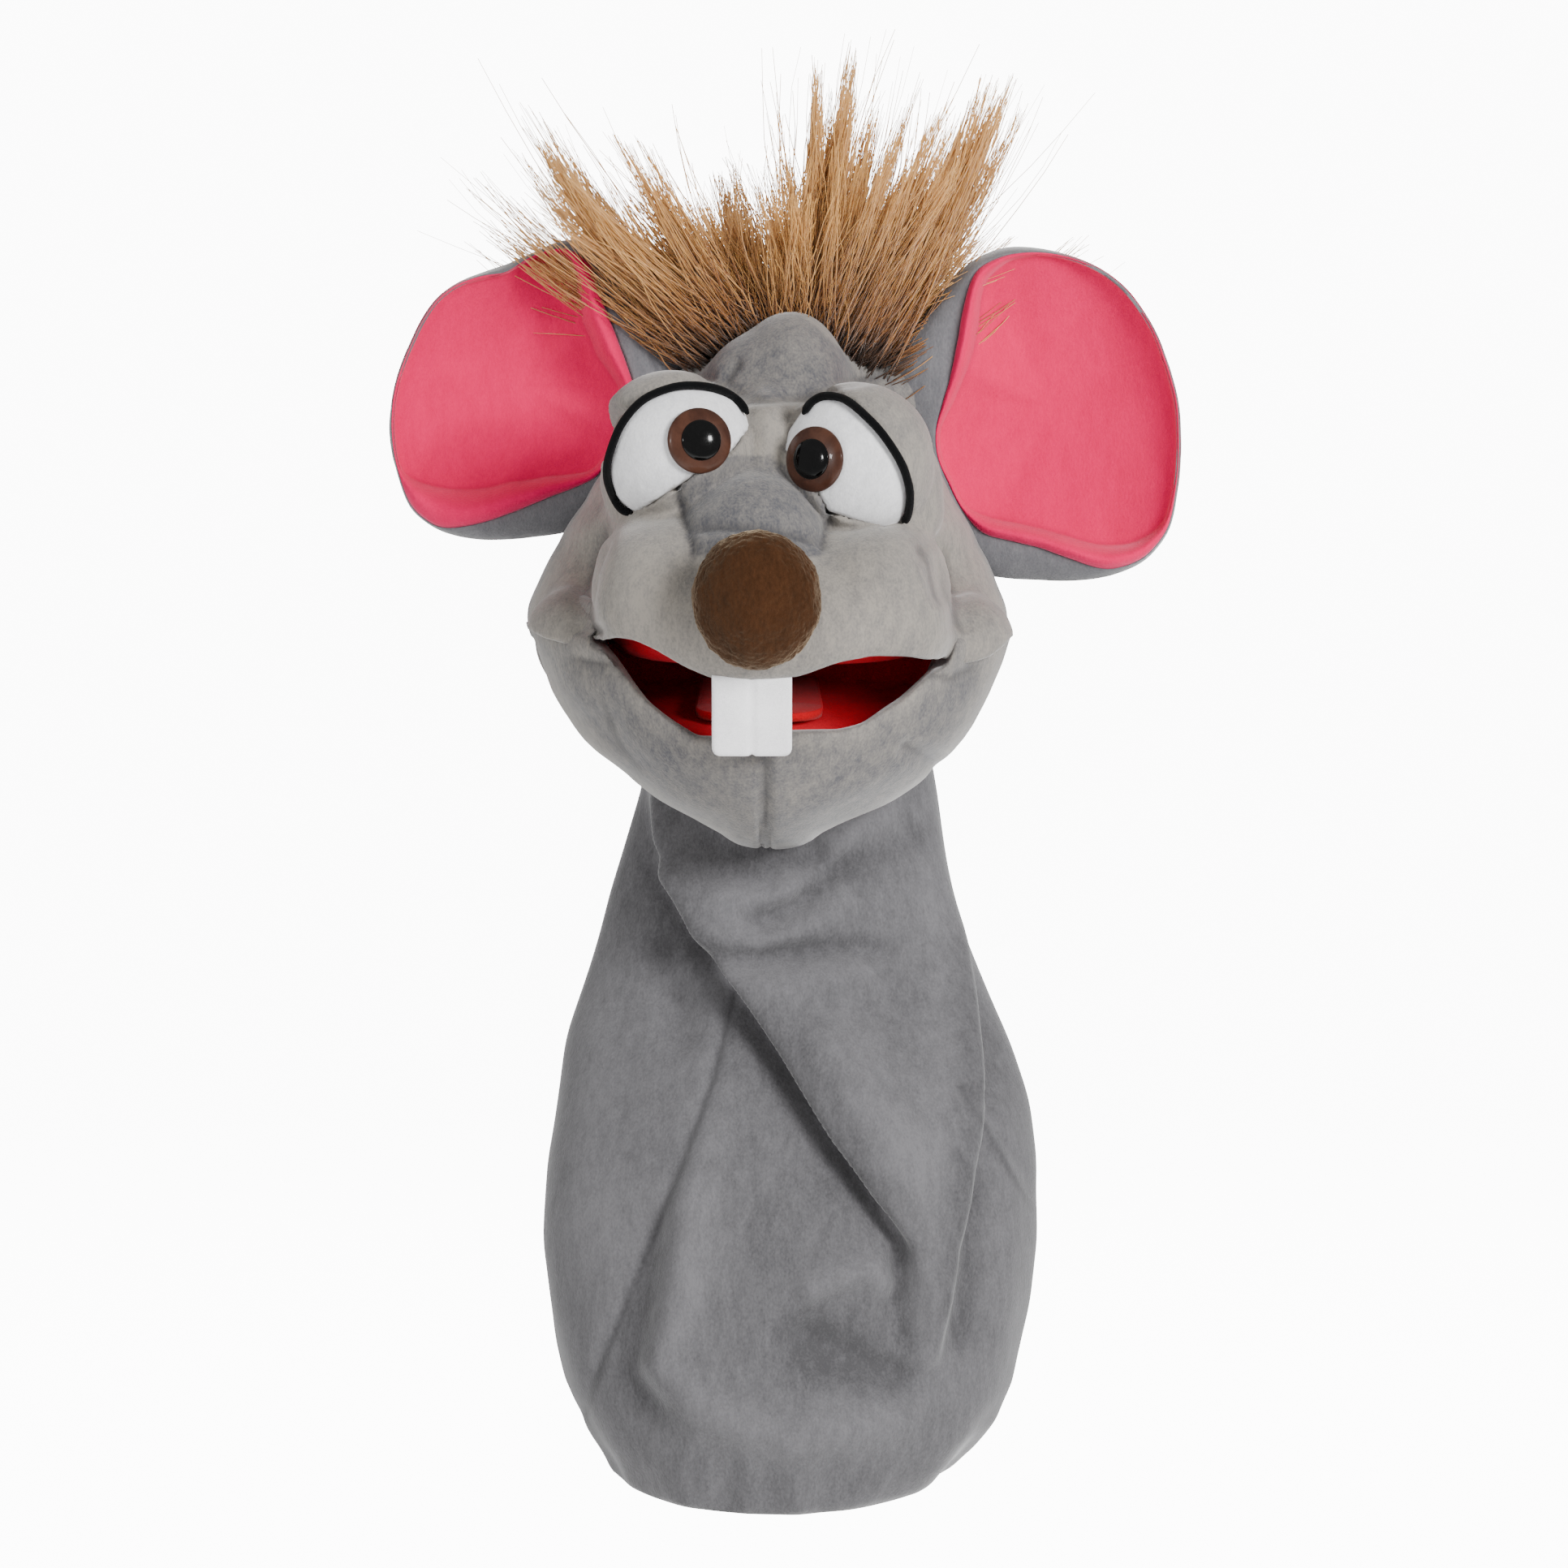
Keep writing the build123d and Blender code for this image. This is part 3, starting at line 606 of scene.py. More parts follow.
def velour(name, laid, up, shade, patch=28.0, pile=1500.0, sheen=.35, sheen_tint=(1, 1, 1), tone_and_shading=False,
           seam=False, bump=.4, streak=.8, level=.5):
    mat, tree, shader = fresh(name)
    nap = tree.nodes.new("ShaderNodeGroup")
    nap.node_tree = nap_group()
    for key, value in (("Laid Down", laid), ("Brushed Up", up), ("Seam Shade", shade)):
        nap.inputs[key].default_value = (*value, 1)
    for key, value in (("Patch Scale", patch), ("Pile Scale", pile), ("Streak", streak), ("Tone", level)):
        nap.inputs[key].default_value = value
    # The tone attribute lightens or darkens the nap. On the sleeve and jaw it also carries painted light and
    # shade.
    if tone_and_shading:
        tree.links.new(attribute(tree, "tone_and_shading"), nap.inputs["Tone"])
    if seam:
        tree.links.new(attribute(tree, "seam"), nap.inputs["Seam"])
    raised = tree.nodes.new("ShaderNodeBump")
    raised.inputs["Strength"].default_value = bump
    raised.inputs["Distance"].default_value = .0006
    wire(tree, (nap.outputs["Pile Height"], raised.inputs["Height"]),
         (raised.outputs["Normal"], shader.inputs["Normal"]),
         (nap.outputs["Colour"], shader.inputs["Base Color"]),
         (nap.outputs["Roughness"], shader.inputs["Roughness"]))
    shader.inputs["Sheen Weight"].default_value = sheen
    shader.inputs["Sheen Roughness"].default_value = .45
    shader.inputs["Sheen Tint"].default_value = (*sheen_tint, 1)
    shader.inputs["Specular IOR Level"].default_value = .12
    return mat


def felt(name, dark, light, scale=900.0, bump=.3, sheen=.25):
    mat, tree, shader = fresh(name)
    where = tree.nodes.new("ShaderNodeTexCoord").outputs["Object"]
    hairs = noise(tree, where, scale, 5, .7, 2.5)
    clouds = noise(tree, where, scale * .08, 3)
    mix = maths(tree, "ADD", maths(tree, "MULTIPLY", hairs, .8), maths(tree, "MULTIPLY", clouds, .5))
    mask = spread(tree, mix, .35, .95)
    raised = tree.nodes.new("ShaderNodeBump")
    raised.inputs["Strength"].default_value = bump
    raised.inputs["Distance"].default_value = .0005
    wire(tree, (blend_colours(tree, mask, dark, light), shader.inputs["Base Color"]),
         (hairs, raised.inputs["Height"]),
         (raised.outputs["Normal"], shader.inputs["Normal"]),
         (spread(tree, clouds, .3, .7, .85, .97), shader.inputs["Roughness"]))
    shader.inputs["Sheen Weight"].default_value = sheen
    shader.inputs["Sheen Roughness"].default_value = .5
    shader.inputs["Specular IOR Level"].default_value = .15
    return mat


def plastic(name, dark, light, scale, rough, coat):
    mat, tree, shader = fresh(name)
    where = tree.nodes.new("ShaderNodeTexCoord").outputs["Object"]
    swirl = noise(tree, where, scale, 4, .6, 1.5)
    wire(tree, (blend_colours(tree, spread(tree, swirl, .3, .7), dark, light), shader.inputs["Base Color"]),
         (spread(tree, swirl, .2, .8, rough, rough + .06), shader.inputs["Roughness"]))
    shader.inputs["Coat Weight"].default_value = coat
    shader.inputs["Specular IOR Level"].default_value = .25
    shader.inputs["Coat Roughness"].default_value = .03
    return mat


def hair_finish(name, root, body, tip):
    mat, tree, shader = fresh(name)
    along, lot = attribute(tree, "tip"), attribute(tree, "lot")
    # Strands run from a dark root colour to the body colour and then to lighter tips. The dark root is partly
    # the hair's own colour and partly painted shade where the strands crowd at the roots.
    low = blend_colours(tree, spread(tree, along, 0, .35), root, body)
    high = blend_colours(tree, spread(tree, maths(tree, "ADD", along, maths(tree, "MULTIPLY", lot, .35)),
                                      .35, 1.15), low, tip)
    wire(tree, (high, shader.inputs["Base Color"]),
         (spread(tree, lot, 0, 1, .38, .62), shader.inputs["Roughness"]))
    shader.inputs["Specular IOR Level"].default_value = .35
    shader.inputs["Sheen Weight"].default_value = .2
    return mat


FINISH = {}


def make_finishes(colours):
    grey, pale, dark = colours.grey, colours.pale, colours.dark
    shade = tuple(c * .35 for c in grey)

    def tint(c, k):
        return tuple(min(1, x * k) for x in c)

    FINISH["grey"] = velour("grey velour", tint(grey, .62), tint(grey, 1.38), shade, tone_and_shading=True, seam=True,
                            patch=24)
    FINISH["pale"] = velour("pale face velour", tint(dark, .75), tint(pale, 1.15), tint(shade, 1.1),
                            tone_and_shading=True, seam=True, patch=34)
    FINISH["ear_grey"] = velour("ear back velour", tint(dark, .95), tint(grey, 1.75), shade, patch=30)
    FINISH["pink"] = velour("pink ear velour", tuple(c * k for c, k in zip(colours.pink, (.78, .5, .62))),
                            tuple(c * k for c, k in zip(colours.pink, (.98, .74, .84))),
                            tint(colours.pink, .5), patch=36,
                            sheen=.3, sheen_tint=(1, .45, .62), seam=True, level=.55)
    FINISH["nose"] = velour("brown nose plush", tint(colours.nose, .6), tint(colours.nose, 1.5),
                            tint(colours.nose, .3), patch=60, pile=1100,
                            sheen=.3, sheen_tint=(1, .8, .55), bump=.8, streak=.8)
    FINISH["white"] = velour("white eye velour", linear(186, 186, 188), linear(226, 226, 227),
                             tint(pale, .8), patch=40, pile=1700, bump=.25,
                             sheen=.1, seam=True)
    FINISH["mouth"] = felt("red mouth felt", linear(158, 7, 24), linear(212, 16, 40), sheen=.02)
    FINISH["tongue"] = felt("tongue felt", linear(136, 6, 16), linear(186, 16, 30), sheen=.06)
    FINISH["teeth"] = felt("tooth felt", linear(206, 205, 207), linear(240, 239, 240), bump=.2)
    FINISH["lining"] = felt("lining cloth", linear(60, 60, 64), linear(96, 96, 100), scale=1400)
    FINISH["cord"] = felt("black liner cord", linear(1, 1, 2), linear(10, 11, 12), scale=2600, bump=.6,
                          sheen=.03)
    FINISH["iris"] = plastic("brown iris plastic", linear(46, 25, 17), linear(66, 40, 29), 90, .3, .15)
    FINISH["pupil"] = plastic("black pupil plastic", linear(2, 2, 2), linear(5, 5, 5), 300, .08, .1)
    FINISH["hair"] = hair_finish("tan hair", linear(62, 34, 9), linear(140, 84, 24), linear(216, 162, 90))


# ---------------------------------------------------------------- sleeve and neck

def relief(across, up):
    """How far the folds stand out or sink in at each place."""
    total = np.zeros(len(across))
    for line, amount, width in CREASES:
        gap, along = to_line(across, up, line)
        total += (amount * np.exp(-(gap / width) ** 2) * smooth(along * 5 + .15)
                  * smooth((1 - along) * 5 + .15))
    hollow = np.hypot((across - 16) / 22, (up - 48) / 15)
    return total - 3.6 * np.exp(-hollow ** 2)


def sleeve_shape(u, v):
    """u goes round from the back, v from the top down to the turned hem."""
    turn = 2 * math.pi * u
    turn = turn + .42 * np.sin(2 * turn) * -.5 - .35 * np.sin(turn)
    angle = math.pi / 2 - turn
    rings = np.array(SLEEVE_RINGS, float)
    step = np.hypot(np.diff(rings[:, 0]),
                    .5 * (np.abs(np.diff(rings[:, 1])) + np.abs(np.diff(rings[:, 2]))))
    run = np.concatenate(([0], np.cumsum(step))) / step.sum()
    z, left, right, mid, deep = (np.interp(v, run, rings[:, k]) for k in range(5))
    soft = np.array([np.interp(v + d, run, rings[:, k]) for d in (-.012, 0, .012)
                     for k in range(5)]).reshape(3, 5, -1).mean(0)
    keep = smooth((z - 22) / 20)
    left, right, mid, deep = (a * (1 - keep) + b * keep for a, b in zip((left, right, mid, deep), soft[1:]))
    z = np.where(keep > 0, z * (1 - keep) + soft[0] * keep, z)
    x = (left + right) / 2 + (right - left) / 2 * np.cos(angle)
    y = mid + deep * np.sin(angle)
    return np.stack((x, y, z), axis=-1)


def drape(co):
    """Folds, wrinkles and gathers of the hanging sleeve. Heights stay as they are."""
    across, up = seen(co)
    base_x, base_y = co[:, 0].copy(), co[:, 1].copy()
    mid = table([(r[0], r[3]) for r in SLEEVE_RINGS[:14]], co[:, 2])
    half = table([(r[0], r[4]) for r in SLEEVE_RINGS[:14]], co[:, 2])
    front = smooth((mid - base_y) / half * 1.3 + .1)
    outward = np.stack((co[:, 0] * .8, co[:, 1] - mid), axis=-1)
    outward /= np.linalg.norm(outward, axis=1)[:, None] + 1e-6

    def raise_by(amount):
        co[:, 0] += outward[:, 0] * amount
        co[:, 1] += outward[:, 1] * amount

    wide = 9.0
    over = table([(230, 3), (207, 5), (180, 9), (110, 10), (95, 9), (78, 6), (60, 1), (0, 0)], up)
    edge = table(FLAP_LEFT, up) + over * .62
    t = (across - edge) / wide
    rise = table(FLAP_RISE, up)
    right = table(FLAP_RIGHT, up)
    lift = smooth((t + .55) / 1.2) * (1 - smooth((across - right + 5) / 6.5))
    hang = (np.exp(-((across - right + 4) / 4) ** 2)
            * table([(230, 0), (190, 2), (165, 6), (90, 6), (50, 3), (34, 0), (0, 0)], up))
    crest = np.exp(-((t - .75) / .9) ** 2) * .22 * rise
    co[:, 1] -= (rise * lift + crest) * front
    co[:, 0] -= over * np.exp(-((t - .42) / .38) ** 2) * front
    co[:, 0] += hang * front
    under = (np.exp(-((t + .55) / .55) ** 2)
             * table([(230, 0), (205, 2), (180, 4), (100, 4), (70, 2.5), (55, 0), (0, 0)], up))
    co[:, 1] += under * front
    co[:, 0] += (co[:, 0] - 4) * .036 * smooth((165 - co[:, 2]) / 40) * smooth((co[:, 2] - 4) / 14)

    raise_by(relief(across, up) * (1.25 - .4 * smooth((up - 150) / 12)) * front)
    for line, width in ((GORE_SEAM, 2.0), (SIDE_SEAM, 2.0)):
        gap, _ = to_line(across, up, line)
        raise_by(-1.5 * np.exp(-(gap / width) ** 2) * front)
    back = 1 - front
    angle = np.arctan2(co[:, 1] - mid, co[:, 0])
    raise_by(back * 1.6 * np.sin(angle * 5 + co[:, 2] * .021) * smooth((co[:, 2] - 15) / 40))
    raise_by(back * -1.4 * np.exp(-((co[:, 0] - 4) / 1.8) ** 2) * smooth((co[:, 1] - mid) / 10))
    raise_by(ripple(co, 42, 3) * .55 * smooth((co[:, 2] - 10) / 20))
    low = 1 - smooth((co[:, 2] - 3) / 30)
    gather = (np.sin(angle * 17 + 1.5 * np.sin(angle * 4)) * .9 + np.sin(angle * 9 + 2) * .8
              + np.sin(angle * 5) * .6)
    raise_by(gather * low * smooth((co[:, 2] - .9) / 1.5) * 1.1)
    return co


def make_sleeve(parts):
    whole = woven("sleeve_skin", 340, 180, lambda u, v: drape(sleeve_shape(u, v)), FINISH["grey"],
                  joined=True)
    soften(whole, 4)
    co = points(whole)
    across, up = seen(co)
    fold_edge = (np.exp(-((across - table(FLAP_LEFT, up)) / 9) ** 2) * smooth((-co[:, 1] + 5) / 10)
                 * smooth((up - 40) / 20))
    soften(whole, 10, weights=fold_edge)
    co = points(whole)
    across, up = seen(co)
    mid = table([(r[0], r[3]) for r in SLEEVE_RINGS[:14]], co[:, 2])
    front = smooth((mid - co[:, 1]) / 25 + .1)
    seam = np.zeros(len(co))
    for line in (GORE_SEAM, SIDE_SEAM):
        seam = np.maximum(seam, np.exp(-(to_line(across, up, line)[0] / .9) ** 2) * front)
    seam = np.maximum(seam, np.exp(-((co[:, 0] - 4) / .8) ** 2) * smooth((co[:, 1] - mid) / 10))
    edge = table(FLAP_LEFT, up)
    right = table(FLAP_RIGHT, up)
    tone_and_shading = .45 + .1 * smooth((across - edge) / 12) * smooth((right - across) / 8) * smooth((up - 70) / 40)
    panel = smooth((table([(p[1], p[0]) for p in GORE_SEAM], up) - across) / 2) * smooth((165 - up) / 10)
    mark(whole, "seam", seam * .6)
    # Painted light and shade: the tone below lightens raised folds and darkens sunk folds.
    folds = relief(across, up) * front
    # Painted shadow in a band under the overhanging left edge of the flap.
    under = (smooth((edge + 8 - across) / 14) * smooth((across - edge + 16) / 10) * smooth((up - 60) / 30)
             * smooth((190 - up) / 20))
    # Painted shade in a band just past the flap's right edge.
    painted_shade_beyond_flap = (smooth((across - right + 1) / 2.5) * smooth((right + 13 - across) / 9)
              * smooth((up - 40) / 20) * smooth((176 - up) / 10))
    # Tone: nap tone and the lighter gore panel, plus painted fold light and shade and painted shadows beside
    # the flap.
    mark(whole, "tone_and_shading", np.clip(tone_and_shading + .15 * panel + np.clip(folds, -4, 4) * .10
                                - (.18 * under + .12 * painted_shade_beyond_flap) * front, 0, 1.2))
    face_out(whole, (4, 10, 110))
    parting = 168.0
    kept = whole.data.attributes.new("whole_normal", "FLOAT_VECTOR", "POINT")
    kept.data.foreach_set("vector", np.ascontiguousarray(normals(whole), np.float32).ravel())
    neck = whole.copy()
    neck.data = whole.data.copy()
    neck.name = neck.data.name = "neck_skin"
    bpy.context.scene.collection.objects.link(neck)
    for obj, low, high in ((whole, -5, parting), (neck, parting, 300)):
        bm = bmesh.new()
        bm.from_mesh(obj.data)
        for level, keep_below in ((low, False), (high, True)):
            bmesh.ops.bisect_plane(bm, geom=bm.verts[:] + bm.edges[:] + bm.faces[:],
                                   plane_co=(0, 0, level), plane_no=(0, 0, 1),
                                   clear_outer=keep_below, clear_inner=not keep_below)
        bm.to_mesh(obj.data)
        bm.free()
        obj.data.shade_smooth()
        thicken(obj, 1.1, offset=-1)
        own = normals(obj)
        kept = np.empty(len(own) * 3)
        obj.data.attributes["whole_normal"].data.foreach_get("vector", kept)
        kept = kept.reshape(-1, 3)
        near = np.abs(points(obj)[:, 2] - parting) < 3
        own[near] = (kept * np.sign((own * kept).sum(1))[:, None])[near]
        obj.data.attributes.remove(obj.data.attributes["whole_normal"])
        obj.data.normals_split_custom_set_from_vertices(own)
    finish_blend(whole,
                 ["hem_band", "sleeve_front_gore", "sleeve_left_panel", "sleeve_right_panel"])
    finish_blend(neck, ["neck_tube"])
    bm = bmesh.new()
    bmesh.ops.create_circle(bm, segments=160, radius=45.2)
    rim = bm.edges[:]
    for lift in (2.5, 3, 3, 3, 1.5):
        made = bmesh.ops.extrude_edge_only(bm, edges=rim)["geom"]
        bmesh.ops.translate(bm, vec=(0, 0, lift),
                            verts=[g for g in made if isinstance(g, bmesh.types.BMVert)])
        rim = [g for g in made if isinstance(g, bmesh.types.BMEdge)]
    for v in bm.verts:
        turn = math.atan2(v.co.y, v.co.x)
        v.co.xy *= 1 + .012 * math.sin(turn * 34) * (v.co.z / 13)
        v.co.z += 1.0
    bmesh.ops.recalc_face_normals(bm, faces=bm.faces)
    cuff = piece_from("cuff_lining", bm, FINISH["lining"])
    face_out(cuff, (0, 0, 7))
    thicken(cuff, .9, offset=1)
    finish_piece(cuff, "sleeve", ["hem_facing", "cuff_elastic"])


# ---------------------------------------------------------------- head and jaw

def eye_front(side, x, z, grow=0.0):
    """Depth of the front of an eyeball at x and z, carried on smoothly past its edge."""
    eye = EYES[side]
    (cx, cy, cz), (rx, ry, rz) = eye["centre"], eye["radii"]
    q = ((x - cx) / (rx + grow)) ** 2 + ((z - cz) / (rz + grow)) ** 2
    return cy - (ry + grow) * np.sqrt(np.clip(1 - q, .02, 1))


def make_head(parts):
    bm = bmesh.new()
    blob(bm, (-.5, 8, 258), (71, 56, 44))
    blob(bm, (0, 10, 285), (56, 54, 55))
    blob(bm, (6, 0, 323), (20, 26, 31))
    blob(bm, (-3, -2, 320), (21, 24, 27.5))
    blob(bm, (4, 18, 320), (47, 22, 26))
    blob(bm, (-27.5, -27, 312), (24.5, 23.5, 25))
    blob(bm, (25, -27, 307.5), (26, 23.5, 26))
    blob(bm, (-1, -28, 313), (10, 20, 20))
    blob(bm, (-6, -48, 287), (22, 29, 23), (14, 0, 0))
    blob(bm, (0, -40, 266), (53, 47, 26))
    blob(bm, (-27.5, -47, 270), (24, 31, 27))
    blob(bm, (28, -46, 268), (25, 32, 27))
    blob(bm, (-50, -24, 257), (21, 22, 18))
    blob(bm, (51, -25, 256), (20, 22, 18))
    blob(bm, (0, 22, 238), (55, 40, 26))
    head = piece_from("head_skin", bm, FINISH["pale"])
    remesh(head, 2.4)
    soften(head, 12)
    co = points(head)
    outside = smooth((np.abs(co[:, 0]) - 50) / 4)
    floor = lip_height(UPPER_LIP, co[:, 0], UPPER_FRONT) - np.clip(co[:, 1] - 6 + 9 * outside, 0, 40) * 2.0
    co[:, 2] = np.maximum(co[:, 2], floor)
    move_to(head, co)
    remesh(head, 1.25)
    soften(head, 4)
    fit_sides(head, FACE_LEFT, FACE_RIGHT, below=256)
    soften(head, 3)
    co = points(head)
    across, up = seen(co)
    for side in ("right", "left"):
        shows = inside(across, up, EYE_SHOWS[side])
        cx, cy, cz = EYES[side]["centre"]
        near = (np.hypot(co[:, 0] - cx, co[:, 2] - cz) < 34) & (co[:, 1] < -8)
        deep = smooth((-8 - co[:, 1]) / 10)
        ball = eye_front(side, co[:, 0], co[:, 2])
        reach = np.hypot(co[:, 0] - cx, co[:, 2] - cz)
        lid = ball - 2.2 * smooth(-shows / 1.6)
        cover = near & (shows <= 0)
        cling = smooth((22.5 - reach) / 3) * cover * smooth((18 - (co[:, 1] - lid)) / 7)
        co[:, 1] += cling * (np.minimum(co[:, 1], lid) - co[:, 1])
        centre, radii = np.array(EYES[side]["centre"]), np.array(EYES[side]["radii"])
        off = (co - centre) / radii
        size = np.linalg.norm(off, axis=1)
        grown = np.maximum(size, 1.05 * smooth(-shows / 1.2))
        around = cover & (size > .3)
        co[around] = (centre + radii * off * (grown / size)[:, None])[around]
        sink = near & (shows > 0)
        co[sink, 1] = np.maximum(co[sink, 1], (ball + np.minimum(shows * 1.6, 6) * deep)[sink])
    move_to(head, co)
    across, up = seen(co)
    edge_gap = np.minimum(np.abs(inside(across, up, EYE_SHOWS["right"])),
                          np.abs(inside(across, up, EYE_SHOWS["left"])))
    soften(head, 6, weights=smooth((edge_gap - 1.6) / 2.4) * smooth((16 - edge_gap) / 4)
           * smooth((-6 - co[:, 1]) / 6))
    co = points(head)
    co += normals(head) * (ripple(co, 34, 8) * .35)[:, None]
    move_to(head, co)
    seams = [(FOREHEAD_SEAM, 1.5, 2.0), ([(-14.2, 331), (-8.9, 338)], 1.6, 1.8), (CHEEK_CREASE, 3.0, 3.4)]
    seams += [(line, 1.5, 1.8) for line in BRIDGE_SEAMS]
    seams += [(line, 2.0, 4.5) for line in CHEEK_FOLDS]
    sunk = press_seams(head, seams)
    co, n = points(head), normals(head)
    behind = smooth((co[:, 1] - 8) / 6)
    centre_back = np.exp(-(co[:, 0] / 1.8) ** 2) * behind
    over_top = np.exp(-((co[:, 1] - 12) / 1.8) ** 2) * smooth((co[:, 2] - 262) / 8)
    nape = np.exp(-((co[:, 2] - 249) / 1.8) ** 2) * smooth((co[:, 1] - 20) / 6)
    co -= n * (1.3 * np.maximum.reduce((centre_back, over_top, nape)))[:, None]
    move_to(head, co)
    across, up = seen(co)
    front = smooth((4 - co[:, 1]) / 8)
    dark = np.maximum(smooth(inside(across, up, FOREHEAD_AREA) / 1.2 + .5),
                      smooth(inside(across, up, BRIDGE_AREA) / 1.2 + .5))
    dark = dark * front
    strip = smooth((12 - np.abs(across - 2)) / 3) * smooth((up - 303) / 4) * smooth((327 - up) / 2)
    lids = smooth((up - 309) / 8) * front * (1 - strip)
    tone_and_shading = .80 - .55 * dark - .30 * (1 - front) + .06 * strip - .08 * lids * (1 - dark)
    mark(head, "tone_and_shading", tone_and_shading)
    mark(head, "seam", np.maximum(sunk, .8 * np.maximum.reduce((centre_back, over_top, nape))) * .6)
    finish_piece(head, "head", ["forehead_cover", "cheek_cover_right", "cheek_cover_left",
                                "back_cover_right", "back_cover_left", "nape_cover",
                                "snout_bridge", "muzzle_right", "muzzle_left", "eyelid_right",
                                "eyelid_left", "head_stuffing", "snout_stuffing",
                                "lip_facing_upper"])


def mouth_depth(x, y):
    """How far a place is inside the D-shaped mouth plan."""
    round_part = (1 - ((np.abs(x) / 51) ** 3 + (np.abs(y + 7) / 60) ** 2.4) ** .385) * 52
    return np.where(y < -7, round_part, 51 - np.abs(x))


def lower_plate(y):
    return 250 - (8 - y) * .2126 - 4


def make_jaw(parts):
    bm = bmesh.new()
    blob(bm, (0, -8, 250), (70, 66, 56))
    jaw = piece_from("jaw_skin", bm, FINISH["pale"])
    remesh(jaw, 2.2)
    co = points(jaw)
    x, y = co[:, 0], co[:, 1]
    rim = lip_height(LOWER_LIP, x, LOWER_FRONT)
    horn = smooth((np.abs(x) - 51) / 3)
    top = rim * (1 - horn) + np.minimum(rim + 14, 272) * horn
    depth = mouth_depth(x, y)
    well = lower_plate(y) - 3
    top = top * (1 - smooth((depth - 1.5) / 4)) + np.minimum(well, top) * smooth((depth - 1.5) / 4)
    top = np.minimum(top, 252 - (y - 4) * 1.1)
    co[:, 2] = np.minimum(co[:, 2], top)
    tuck = 1 - .05 * smooth((co[:, 2] - 259) / 5)
    co[:, 0] *= tuck
    move_to(jaw, co)
    remesh(jaw, 1.25)
    soften(jaw, 6)
    fit_sides(jaw, JAW_LEFT, JAW_RIGHT, above=262)
    soften(jaw, 1)
    co = points(jaw)
    co += normals(jaw) * (ripple(co, 30, 21) * .35)[:, None]
    move_to(jaw, co)
    sunk = press_seams(jaw, [([(-1.7, 228), (-1.7, 192)], 1.4, 1.6),
                             ([(38, 224), (44, 221), (51, 217)], 1.4, 3.2),
                             ([(-50, 236), (-46, 224), (-38, 214)], 1.0, 4),
                             ([(-44, 250), (-50, 247), (-60, 249)], 1.2, 3),
                             ([(46, 245), (54, 243), (62, 247)], 1.2, 3)])
    co, n = points(jaw), normals(jaw)
    keel = np.exp(-((co[:, 0] + 1.7) / 1.6) ** 2) * smooth(-n[:, 2] * 3)
    co -= n * (keel * 1.0 * (sunk < .2))[:, None]
    move_to(jaw, co)
    across, up = seen(co)
    lip = smooth((co[:, 2] - lip_height(LOWER_LIP, co[:, 0], LOWER_FRONT) + 7) / 5)
    outline = np.where(across < 0, -table(JAW_LEFT, up), table(JAW_RIGHT, up))
    # Painted highlight: a pale band along the jaw's outline, low down, stands in for the sheen at its rim.
    rim = smooth((9 - outline + np.abs(across)) / 9) * smooth((256 - up) / 10)
    mark(jaw, "tone_and_shading", .36 + .2 * lip + .4 * rim)
    mark(jaw, "seam", np.maximum(sunk, keel * .8) * .6)
    in_metres(jaw)
    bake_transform(jaw)
    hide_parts("jaw_cover_right", "jaw_cover_left", "jaw_stuffing", "lip_facing_lower",
                "throat_lining")


# ---------------------------------------------------------------- mouth

def plan(u, v, half, front, back):
    """Turns the unit square into the D-shaped mouth plan, straight side at the back."""
    side = 2 * u - 1
    run = front + (back - front) * v
    reach = np.clip((-7 - run) / (-7 - front), 0, 1)
    width = half * np.clip(1 - reach ** 2.4, 0, 1) ** (1 / 3)
    return side * width, run


